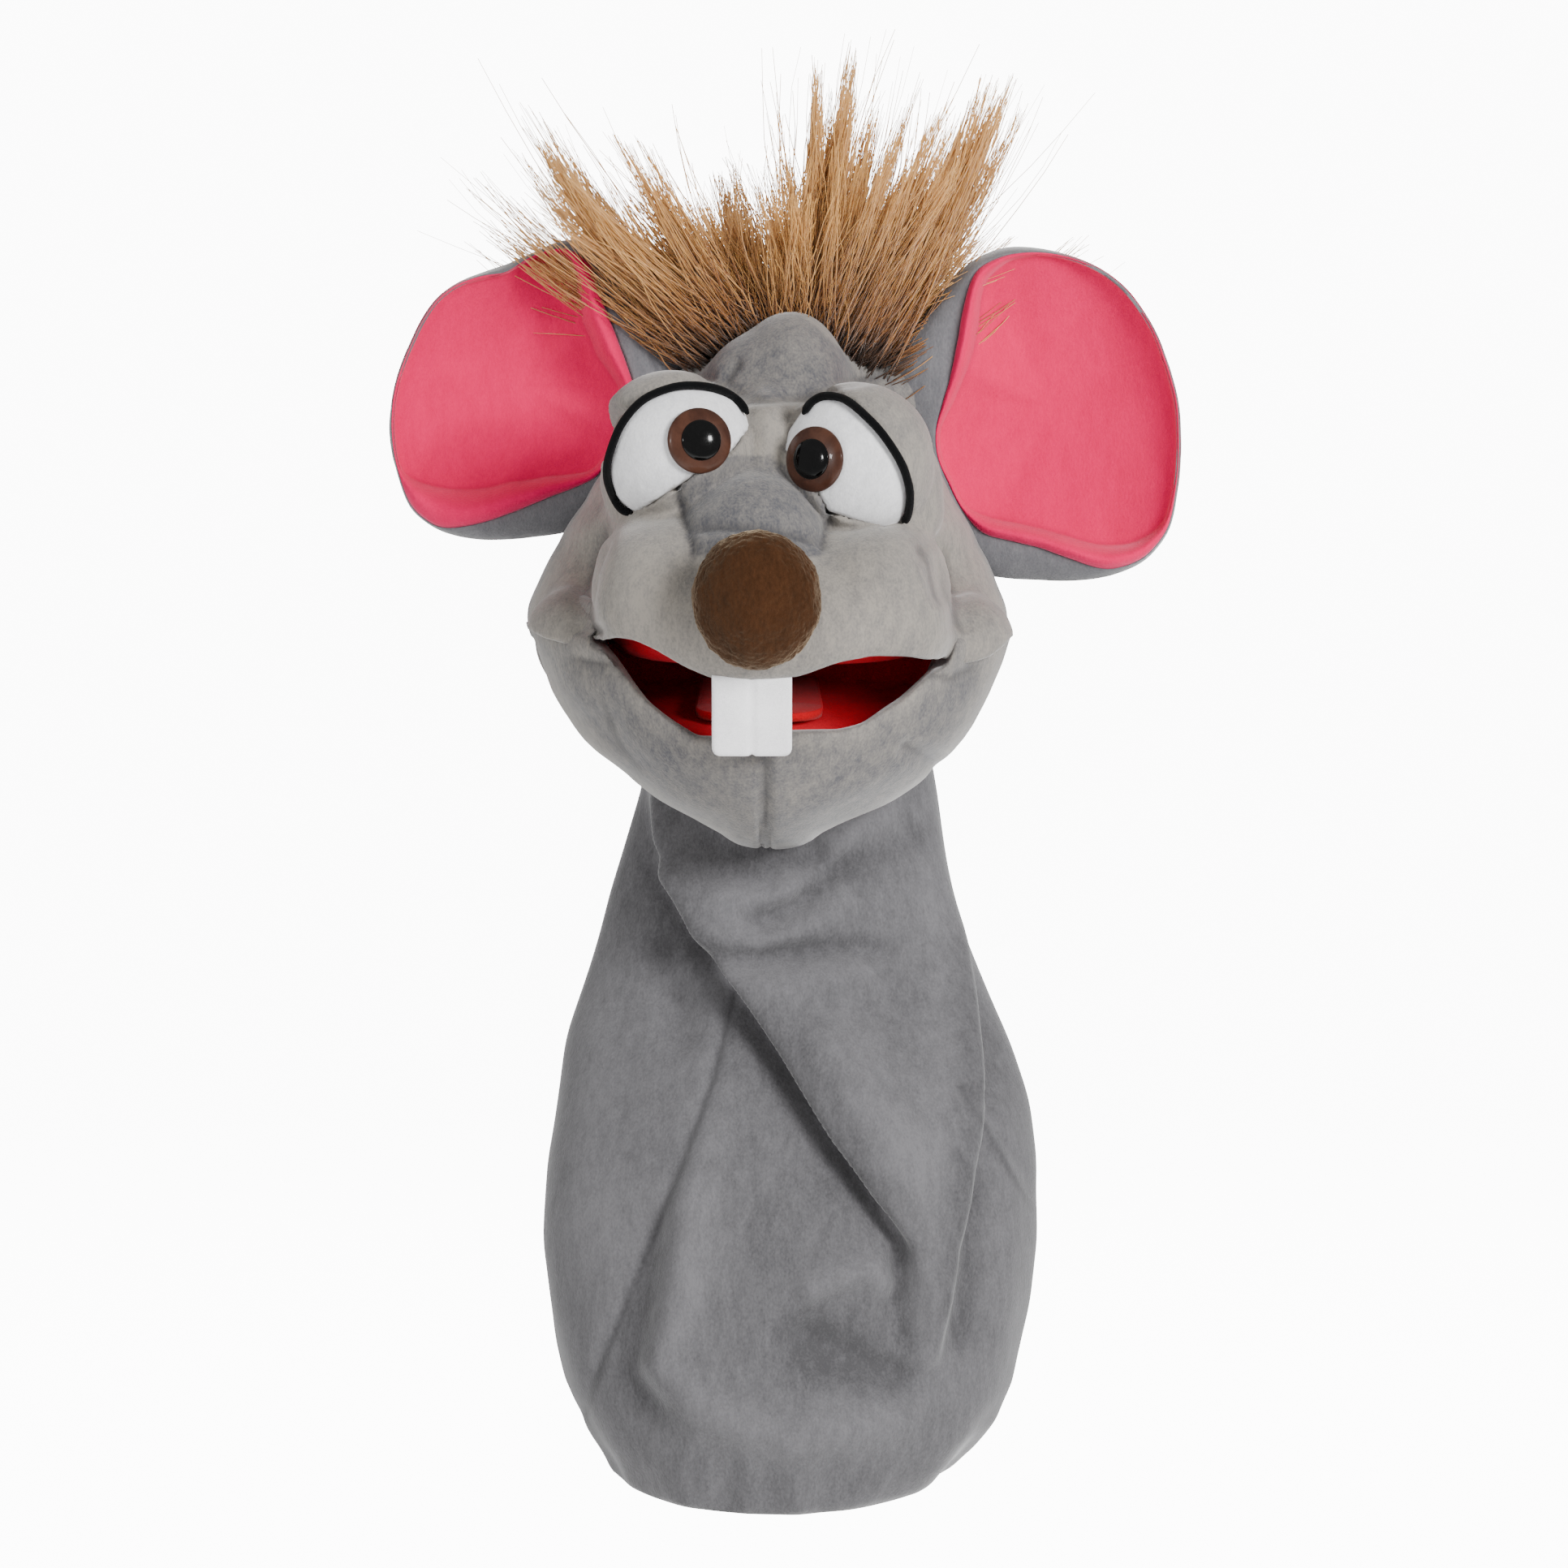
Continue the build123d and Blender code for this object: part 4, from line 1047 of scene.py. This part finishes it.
def make_mouth(parts):
    def lower(u, v):
        x, y = plan(u, v ** 1.6, 50, -66, 7)
        edge = 1 - smooth(mouth_depth(x, y) / 7)
        lip = lip_height(LOWER_LIP, x, LOWER_FRONT)
        z = (lower_plate(y) + .4 + edge * np.clip(lip - lower_plate(y) - 1.0, 0, 9) * .8 + 8
             * smooth((y + 5) / 12))
        return np.stack((x, y, z), axis=-1)

    def upper(u, v):
        x, y = plan(u, v ** 1.6, 50, -68, 4)
        edge = 1 - smooth(mouth_depth(x, y) / 9)
        lip = lip_height(UPPER_LIP, x, UPPER_FRONT) - .2
        z = 254.5 + edge * np.clip(lip - 254.5, -1.5, 9) - 5.5 * smooth((y + 6) / 10)
        return np.stack((x, y, z), axis=-1)

    for name, shape, body, nodes in (("lower_mouth_felt", lower, "jaw",
                                      ["lower_palate", "lower_mouth_board"]),
                                     ("upper_mouth_felt", upper, "head",
                                      ["upper_palate", "upper_mouth_board"])):
        felt_piece = woven(name, 90, 90, shape, FINISH["mouth"], joined=True)
        face_out(felt_piece, (0, -30, 200 if body == "jaw" else 300))
        thicken(felt_piece, 1.5)
        finish_piece(felt_piece, body, nodes)

    def tongue_shape(u, v):
        side = 2 * u - 1
        y = -11 - 39 * v
        tip = np.clip((v - .62) / .38, 0, 1)
        width = 19.5 * np.sqrt(np.clip(1 - tip ** 2.2, 0, 1)) * (1 - .12 * (1 - v))
        x = side * width - 3.4
        z = (lower_plate(y) + 4.4 - .9 * np.abs(side) ** 3 * (width / 19.5) - .8
             * np.exp(-(side * width / 1.6) ** 2) * (1 - tip))
        return np.stack((x, y, z + 1.6 * tip), axis=-1)

    tongue = woven("tongue_felt", 50, 60, tongue_shape, FINISH["tongue"], joined=True)
    face_out(tongue, (0, -30, 200))
    thicken(tongue, 2.6)
    finish_piece(tongue, "tongue", ["tongue"])

    bm = bmesh.new()
    bmesh.ops.create_cube(bm, size=2)
    bmesh.ops.subdivide_edges(bm, edges=bm.edges, cuts=21, use_grid_fill=True)
    half = np.array((11.3, 2.0, 11.6))
    for v in bm.verts:
        p = np.array(v.co) * half
        for a, b, r in ((0, 2, 2.4), (0, 1, 1.1), (2, 1, 1.1)):
            inner = np.clip((p[a], p[b]), -(half[[a, b]] - min(r, half[b])), half[[a, b]] - min(r, half[b]))
            out = np.array((p[a], p[b])) - inner
            size = np.linalg.norm(out)
            if size > 0 and not (a == 0 and b == 2 and p[2] > 0):
                p[[a, b]] = inner + out * (np.abs(out).max() / size)
        split = math.exp(-(p[0] / .7) ** 2)
        p[1] -= math.copysign(1, p[1]) * .75 * split
        p[2] += .5 * split * (1 if p[2] < -9.5 else 0)
        p[1] += -.02 * (p[2] / 11) * abs(p[0]) + .25 * math.sin(p[2] * .4)
        v.co = p + np.array((-5.2, -77.8, 242.7))
    teeth = piece_from("teeth_felt", bm, FINISH["teeth"])
    finish_piece(teeth, "teeth", ["teeth"])


def make_nose(parts):
    bm = bmesh.new()
    made = bmesh.ops.create_icosphere(bm, subdivisions=6, radius=1.0)["verts"]
    co = np.array([v.co for v in made])
    rough = ripple(co * 20, 3.2, 5) * .006 + ripple(co * 20, 1.4, 6) * .006 + ripple(co * 20, 9, 7) * .012
    flat = np.sign(co[:, 1]) * np.abs(co[:, 1]) ** .85
    for v, p, k, f in zip(made, co, rough, flat):
        v.co = (-3.8 + 18.0 * p[0] * (1 + k), -88 + 12 * f * (1 + k), 276.3 + 19.4 * p[2] * (1 + k))
    nose = piece_from("nose_ball", bm, FINISH["nose"])
    finish_piece(nose, "head", ["nose_cover", "nose_stuffing"])


# ---------------------------------------------------------------- eyes

def eye_spot(side):
    """Where an iris sits on its ball, and which way it looks."""
    eye = EYES[side]
    across, up = eye["iris"]
    spot = place(across, up, -56.5)
    for _ in range(4):
        spot = place(across, up, float(eye_front(side, spot[0], spot[2])))
    return spot, Vector((spot - np.array(eye["centre"])) / np.array(eye["radii"]) ** 2).normalized()


def make_eyes(parts):
    for side in ("right", "left"):
        eye = EYES[side]
        centre, radii = np.array(eye["centre"]), np.array(eye["radii"])
        bm = bmesh.new()
        blob(bm, tuple(centre), tuple(radii))
        bmesh.ops.subdivide_edges(bm, edges=bm.edges, cuts=1, use_grid_fill=True, smooth=1.0)
        ball = piece_from("eye_ball_" + side, bm, FINISH["white"])
        co = points(ball)
        shows = inside(*seen(co), EYE_SHOWS[side])
        co += (centre - co) * (.16 * smooth((-shows - .4) / 3))[:, None]
        move_to(ball, co)
        mark(ball, "seam", smooth((-shows - .3) / .9))
        finish_piece(ball, "head", ["eye_white_" + side, "eye_stuffing_" + side])
        spot, aim = eye_spot(side)
        turn = Vector((0, 0, 1)).rotation_difference(aim).to_matrix().to_4x4()
        for name, radius, height, lift, finish, nodes, slot in (
                ("iris_disc_", 9.4, 2.6, -.6, "iris", ["iris_" + side, "eye_washer_" + side],
                 "iris_plastic"),
                ("pupil_dome_", 5.8, 1.35, 1.55, "pupil", ["pupil_" + side], "pupil_plastic")):
            bm = bmesh.new()
            profile = ([(0, height)] + [(radius * math.sin(a), height * (1 - (1 - math.cos(a)) * .86))
                                        for a in np.linspace(.12, 1.5, 11)])
            profile += [(radius, 0), (radius * .98, -.5)]
            line = [bm.verts.new((r, 0, h)) for r, h in profile]
            edges = [bm.edges.new(pair) for pair in zip(line, line[1:])]
            bmesh.ops.spin(bm, geom=line + edges, cent=(0, 0, 0), axis=(0, 0, 1), angle=2 * math.pi,
                           steps=56, use_merge=True)
            bmesh.ops.remove_doubles(bm, verts=bm.verts, dist=.001)
            bmesh.ops.holes_fill(bm, edges=[e for e in bm.edges if e.is_boundary], sides=0)
            bmesh.ops.recalc_face_normals(bm, faces=bm.faces)
            bmesh.ops.transform(bm, matrix=Matrix.Translation(Vector(spot) + aim * lift) @ turn,
                                verts=bm.verts)
            disc = piece_from(name + side, bm, FINISH[finish])
            finish_piece(disc, "head", nodes)
        path = []
        for across, up in curve_through(EYE_CORDS[side], 6):
            p = place(across, up, -45)
            for _ in range(5):
                p = place(across, up, float(eye_front(side, p[0], p[2], grow=.6)))
            p[1] -= 1.5
            path.append(p)
        cord = round_cord("eye_cord_" + side, path, 1.2, FINISH["cord"])
        finish_piece(cord, "head", ["eye_liner_" + side])


# ---------------------------------------------------------------- ears

def make_ear(side):
    centre = EAR_CENTRES[side]
    rings = np.array(EAR_RINGS[side] + EAR_RINGS[side][:1])
    angles = np.linspace(0, 2 * math.pi, 31)
    rings_now = []
    fine = np.linspace(0, 2 * math.pi, 361)
    for k in range(3):
        row = np.interp(fine, angles, rings[:, k])
        wrapped = np.concatenate((row[:-1], row[:-1], row[:-1]))
        kernel = np.exp(-(np.arange(-9, 10) / 4.0) ** 2)
        rings_now.append(np.convolve(wrapped, kernel / kernel.sum(), "same")[360:721])
    seam_r, valley_r, out_r = rings_now

    def read(u):
        return (np.interp(u * 2 * math.pi, fine, r) for r in (seam_r, valley_r, out_r))

    def creases(a, share):
        """Soft pulls that run out from the foot of the ear."""
        foot = 0 if side == "right" else math.pi
        off = np.angle(np.exp(1j * (a - foot)))
        return ((1.6 * np.sin(off * 5 + .6) + .9 * np.sin(off * 11 + 1.2 + share * 2))
                * np.exp(-(off / 1.9) ** 2) * share ** 2.5 * (1.15 - share) * 2.4)

    def front(u, v):
        a = u * 2 * math.pi
        rs, rv, _ = read(u)
        band = np.clip((rs - rv) / 7, 0.06, 1)
        valley_y = 1.2 + 4.8 * band
        cut = .74
        inner = np.clip(v / cut, 0, 1)
        outer = np.clip((v - cut) / (1 - cut), 0, 1)
        r = rv * inner + (rs - rv) * outer
        dish = 15 - (15 - valley_y) * inner ** 2.2
        roll = 7.5 * band * np.sin(math.pi * outer) ** .8
        y = np.where(v < cut, dish, valley_y + (-1 - valley_y) * outer - roll)
        y = y + creases(a, inner) * (1 - outer)
        place_a = centre[0] + r * np.cos(a), centre[1] + r * np.sin(a)
        y = (y + ripple(np.stack((place_a[0], place_a[1], np.zeros_like(y)), axis=-1), 26, 11
                        if side == "right" else 12) * .5 * inner * (1 - outer))
        return place(place_a[0], place_a[1], y + 8)

    def back(u, v):
        a = u * 2 * math.pi
        rs, _, ro = read(u)
        edge = np.clip(v / .35, 0, 1) * math.pi / 2
        rear = np.clip((v - .35) / .65, 0, 1) * math.pi / 2
        r = np.where(v < .35, rs + (ro - rs) * np.sin(edge), ro * np.cos(rear))
        y = np.where(v < .35, -1.2 + 9 * (1 - np.cos(edge)), 7.8 + 13 * np.sin(rear))
        place_a = centre[0] + r * np.cos(a), centre[1] + r * np.sin(a)
        y = (y + ripple(np.stack((place_a[0], place_a[1], np.zeros_like(y)), axis=-1), 30, 13) * .7
             * np.sin(edge))
        return place(place_a[0], place_a[1], y + 8)

    lining = woven("ear_lining_skin_" + side, 200, 60, front, FINISH["pink"], joined=True)
    mid = place(*centre, 60)
    face_out(lining, mid)
    co = points(lining)
    across, up = seen(co)
    gap = np.hypot(across - centre[0], up - centre[1])
    turn = np.mod(np.arctan2(up - centre[1], across - centre[0]), 2 * math.pi)
    rim = np.interp(turn, fine, seam_r)
    dip = np.interp(turn, fine, valley_r)
    wide = np.clip((rim - dip - 1.5) / 4, 0, 1)
    # Painted shade along the valley where the rolled pink edge turns in, carried by the seam mark.
    mark(lining, "seam", .35 * np.exp(-((gap - dip) / 1.0) ** 2) * wide)
    thicken(lining, .9)
    finish_piece(lining, "ear_" + side, ["ear_lining_" + side])
    rear = woven("ear_back_skin_" + side, 200, 70, back, FINISH["ear_grey"], joined=True)
    face_out(rear, place(*centre, 6))
    thicken(rear, .9)
    finish_piece(rear, "ear_" + side, ["ear_back_" + side, "ear_pad_" + side])


# ---------------------------------------------------------------- hair

def hair_piece(name, count, seed, nodes):
    bm = bmesh.new()
    ring = bmesh.ops.create_circle(bm, segments=3, radius=1.0)["verts"]
    edges = bm.edges[:]
    for _ in range(7):
        made = bmesh.ops.extrude_edge_only(bm, edges=edges)["geom"]
        bmesh.ops.translate(bm, vec=(0, 0, 1), verts=[g for g in made if isinstance(g, bmesh.types.BMVert)])
        edges = [g for g in made if isinstance(g, bmesh.types.BMEdge)]
    bmesh.ops.holes_fill(bm, edges=[e for e in bm.edges if e.is_boundary], sides=3)
    bmesh.ops.recalc_face_normals(bm, faces=bm.faces)
    fur = piece_from(name, bm, FINISH["hair"])
    one = points(fur).copy()
    repeat = fur.modifiers.new("Strands", "ARRAY")
    repeat.fit_type = "FIXED_COUNT"
    repeat.count = count
    repeat.use_relative_offset = False
    repeat.use_constant_offset = True
    repeat.constant_offset_displace = (0, 0, 0)
    settle(fur)
    rng = np.random.default_rng(seed)
    locks = np.array(LOCKS)
    weight = locks[:, 2]
    lock = rng.choice(len(locks), size=count, p=weight / weight.sum())
    tip = locks[lock]
    wisp = rng.integers(0, 6, count)
    wisps = np.random.default_rng(9).normal(0, 1, (len(locks), 6, 4))[lock, wisp]
    stray = rng.random(count) < .08
    loose = np.where(stray, 1.6, tip[:, 3])
    share = np.where(stray, rng.uniform(.5, 1.06, count),
                     1.02 - .52 * rng.random(count) ** 1.1 - np.clip(.08 * np.abs(wisps[:, 3]), 0, .2))
    root_across = -22 + 56 * np.clip((tip[:, 0] + 92) / 186, 0, 1) + rng.normal(0, 3.0, count)
    root_across = np.clip(root_across, -25, 35)
    root_up = 347 - ((root_across - 4) / 31) ** 2 * 13 + rng.normal(0, 3.5, count)
    root_y = 6 + rng.uniform(-3, 18, count)
    lock_y = np.random.default_rng(77).normal(2, 15, len(locks))[lock]
    tip_across = tip[:, 0] + rng.normal(0, 1.0, count) * (loose + .1) + wisps[:, 0] * (2.4 + 7 * loose)
    tip_up = tip[:, 1] + rng.normal(0, 1.6, count) * (loose + .15) + wisps[:, 1] * (1.0 + 4 * loose)
    root = np.stack((root_across, root_up, root_y), axis=-1)
    end = np.stack((tip_across, tip_up, 8 + lock_y + wisps[:, 2] * 5 + rng.normal(0, 2, count) * loose),
                   axis=-1)
    end = root + (end - root) * share[:, None]
    sway = (np.random.default_rng(5).normal(0, 3.5, len(locks))[lock] + rng.normal(0, 2.2, count)
            * (.4 + loose))
    bend = (root + (end - root) * np.array((.58, .40, .4))
            + np.stack((sway, rng.normal(0, 2, count), rng.normal(0, 4, count)), axis=-1))
    lot = rng.random(count)
    level = one[:, 2] / 7
    t = np.tile(level, (count, 1))
    curve = ((1 - t)[..., None] ** 2 * root[:, None] + 2 * (t * (1 - t))[..., None] * bend[:, None]
             + t[..., None] ** 2 * end[:, None])
    wave = (np.sin(t * rng.uniform(5, 11, (count, 1)) + rng.uniform(0, 6.28, (count, 1))) * t
            * rng.uniform(.2, 1.5, (count, 1)))
    curve[..., 0] += wave
    width = rng.uniform(.13, .25, (count, 1)) * (1 - .55 * t ** 1.6)
    flat = place(curve[..., 0].ravel(), curve[..., 1].ravel(), curve[..., 2].ravel()).reshape(count, -1, 3)
    lay = (end - root)
    lay = np.stack((lay[:, 0], lay[:, 2], lay[:, 1]), axis=-1)
    lay /= np.linalg.norm(lay, axis=1)[:, None]
    one_side = np.cross(lay, (0, 1, 0))
    one_side /= np.linalg.norm(one_side, axis=1)[:, None] + 1e-9
    other = np.cross(lay, one_side)
    ring_at = one[:, :2]
    flat += ((ring_at[None, :, 0:1] * one_side[:, None] + ring_at[None, :, 1:2] * other[:, None])
             * width[..., None])
    move_to(fur, flat.reshape(-1, 3))
    mark(fur, "tip", t.ravel())
    mark(fur, "lot", np.repeat(lot, len(one)))
    in_metres(fur)
    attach(fur, "head")
    if nodes:
        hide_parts(*nodes)


def make_pockets(parts):
    """The finger and thumb linings, which lie inside the stuffing."""
    for name, low, high, body, node in (("finger_lining", (-33, -56, 263), (33, 30, 280), "head",
                                         "finger_pocket"),
                                        ("thumb_lining", (-13, -38, 219), (13, -12, 229), "jaw",
                                         "thumb_pocket")):
        low, high = np.array(low), np.array(high)
        bm = bmesh.new()
        bmesh.ops.create_cube(bm, size=2)
        bmesh.ops.subdivide_edges(bm, edges=bm.edges, cuts=11, use_grid_fill=True)
        for v in bm.verts:
            p = np.array(v.co)
            p = p / np.maximum(1e-6, (np.abs(p) ** 4).sum() ** .25)
            v.co = (low + high) / 2 + (high - low) / 2 * p * (1 + .01 * math.sin(p[1] * 9))
        obj = piece_from(name, bm, FINISH["lining"])
        finish_piece(obj, body, [node])


def make_stage(parts):
    scene = bpy.context.scene
    floor_z = -.30
    bm = bmesh.new()
    bmesh.ops.create_grid(bm, x_segments=8, y_segments=8, size=6)
    bmesh.ops.translate(bm, vec=(0, 0, floor_z), verts=bm.verts)
    mat, tree, shader = fresh("pale floor")
    shader.inputs["Base Color"].default_value = (.93, .93, .93, 1)
    shader.inputs["Roughness"].default_value = .9
    shader.inputs["Specular IOR Level"].default_value = .1
    glow = tree.nodes.new("ShaderNodeLightPath")
    tree.links.new(maths(tree, "MULTIPLY", glow.outputs["Is Camera Ray"], parts.backdrop),
                   shader.inputs["Emission Strength"])
    shader.inputs["Emission Color"].default_value = (1, 1, 1, 1)
    floor = piece_from("stage_floor", bm, mat)
    world = bpy.data.worlds.new("soft white room")
    world.use_nodes = True
    world.node_tree.nodes["Background"].inputs["Color"].default_value = (1, 1, 1, 1)
    room = world.node_tree
    seen_white = room.nodes.new("ShaderNodeLightPath").outputs["Is Camera Ray"]
    strength = maths(room, "ADD", maths(room, "MULTIPLY", seen_white, parts.backdrop), parts.room_light)
    room.links.new(strength, room.nodes["Background"].inputs["Strength"])
    scene.world = world
    aim = Vector(AIM) / 1000

    def lamp(name, spot, power, size, height=None, shows=False):
        data = bpy.data.lights.new(name, "AREA")
        data.energy = power
        data.shape = "RECTANGLE"
        data.size = size
        data.size_y = height or size
        obj = bpy.data.objects.new(name, data)
        scene.collection.objects.link(obj)
        obj.location = Vector(spot)
        obj.visible_glossy = shows
        obj.rotation_euler = (aim + Vector((0, 0, .03)) - obj.location).to_track_quat("-Z", "Y").to_euler()

    lamp("key_softbox", (1.0, -1.2, .85), parts.key_light, .6)
    lamp("fill_softbox", (-1.3, -1.1, .6), parts.key_light * .24, 1.1)
    for side in ("right", "left"):
        spot, look = eye_spot(side)
        look = (look + Vector((EYES[side]["glint"], 0, .02))).normalized()
        view = (Vector(VIEW_POINT) - Vector(spot)).normalized()
        lamp("catch_light_" + side, Vector(spot) / 1000 + (2 * look.dot(view) * look - view) * 1.3,
             parts.key_light * .07, .105, shows=True)
    lamp("back_softbox", (0, 1.3, .9), parts.key_light * .6, 1.2)
    data = bpy.data.cameras.new("camera")
    data.lens = SENSOR * REACH / VIEW_WIDTH
    data.sensor_width = SENSOR
    camera = bpy.data.objects.new("camera", data)
    scene.collection.objects.link(camera)
    camera.location = Vector(VIEW_POINT) / 1000
    camera.rotation_euler = (math.pi / 2 - TILT, 0, 0)
    scene.camera = camera


# ---------------------------------------------------------------- add-on

def colour_prop(name, description, default):
    return bpy.props.FloatVectorProperty(name=name, description=description, default=default, size=3,
                                         min=0, max=1, subtype="COLOR")


class PuppetColours(bpy.types.PropertyGroup):
    grey: colour_prop("Body grey", "Colour of the sleeve and jaw velour", linear(84, 83, 85))
    pale: colour_prop("Face grey", "Colour of the brushed face velour", linear(122, 117, 110))
    dark: colour_prop("Panel grey", "Colour of the nap that lies down on the forehead and bridge",
                      linear(84, 84, 88))
    pink: colour_prop("Ear pink", "Colour of the ear linings", linear(214, 8, 88))
    nose: colour_prop("Nose brown", "Colour of the nose plush", linear(46, 26, 12))


class PuppetParts(bpy.types.PropertyGroup):
    strands: bpy.props.IntProperty(name="Strands per hair piece",
                                   description="How many strands each hair piece has", default=4200,
                                   min=100, max=6000)
    cloth_area: bpy.props.FloatProperty(name="Sleeve cloth",
                                        description="Flat area of the sleeve's cut panels", default=.068,
                                        unit="AREA")
    room_light: bpy.props.FloatProperty(name="Room light", description="Strength of the white room",
                                        default=.45, min=0)
    backdrop: bpy.props.FloatProperty(name="Backdrop glow", default=11.0, min=0,
                                      description="How bright the pale floor and room look behind the puppet")
    key_light: bpy.props.FloatProperty(name="Key light", description="Power of the large softbox",
                                       default=47.0, min=0, subtype="POWER")


def operator(name, label, words, work):
    def execute(self, context):
        work(context.scene.puppet_parts)
        return {"FINISHED"}
    return type("PUPPET_OT_" + name, (bpy.types.Operator,),
                {"bl_idname": "puppet." + name, "bl_label": label, "__doc__": words, "execute": execute})


def make_ears(parts):
    make_ear("right")
    make_ear("left")


def make_hair(parts):
    hair_piece("hair_back", parts.strands, 101, ["hair_tufts", "hair_backing"])
    hair_piece("hair_middle", parts.strands, 202, [])
    hair_piece("hair_front", parts.strands, 303, [])


def make_all_finishes(parts):
    make_finishes(bpy.context.scene.puppet_colours)


OPERATORS = [
    operator("finishes", "Mix finishes", "Makes the velours, felts, hair and plastics", make_all_finishes),
    operator("sleeve", "Sew sleeve", "Makes the sleeve, neck and cuff lining", make_sleeve),
    operator("head", "Stuff head", "Makes the stuffed head skin", make_head),
    operator("jaw", "Stuff jaw", "Makes the stuffed lower jaw skin", make_jaw),
    operator("mouth", "Line mouth", "Makes the mouth felts, tongue and teeth", make_mouth),
    operator("nose", "Add nose", "Makes the plush nose ball", make_nose),
    operator("eyes", "Add eyes", "Makes the eyeballs, irises, pupils and black cords", make_eyes),
    operator("ears", "Sew ears", "Makes both ears", make_ears),
    operator("hair", "Plant hair", "Makes the three overlapping hair pieces", make_hair),
    operator("pockets", "Line pockets", "Gives the finger and thumb pockets their cloth", make_pockets),
    operator("stage", "Set stage", "Makes the floor, lights and camera", make_stage),
]


class PUPPET_PT_sidebar(bpy.types.Panel):
    bl_label = "Rat hand puppet"
    bl_idname = "PUPPET_PT_sidebar"
    bl_space_type = "VIEW_3D"
    bl_region_type = "UI"
    bl_category = "Puppet"

    def draw(self, context):
        for group in (context.scene.puppet_colours, context.scene.puppet_parts):
            for key in group.__annotations__:
                self.layout.prop(group, key)
        for op in OPERATORS:
            self.layout.operator(op.bl_idname)


CLASSES = [PuppetColours, PuppetParts, *OPERATORS, PUPPET_PT_sidebar]


def register():
    for cls in CLASSES:
        bpy.utils.register_class(cls)
    bpy.types.Scene.puppet_colours = bpy.props.PointerProperty(type=PuppetColours)
    bpy.types.Scene.puppet_parts = bpy.props.PointerProperty(type=PuppetParts)


def unregister():
    del bpy.types.Scene.puppet_parts
    del bpy.types.Scene.puppet_colours
    for cls in reversed(CLASSES):
        bpy.utils.unregister_class(cls)


def main():
    register()
    for op in OPERATORS:
        getattr(bpy.ops.puppet, op.bl_idname.split(".")[1])()


if __name__ == "__main__":
    main()
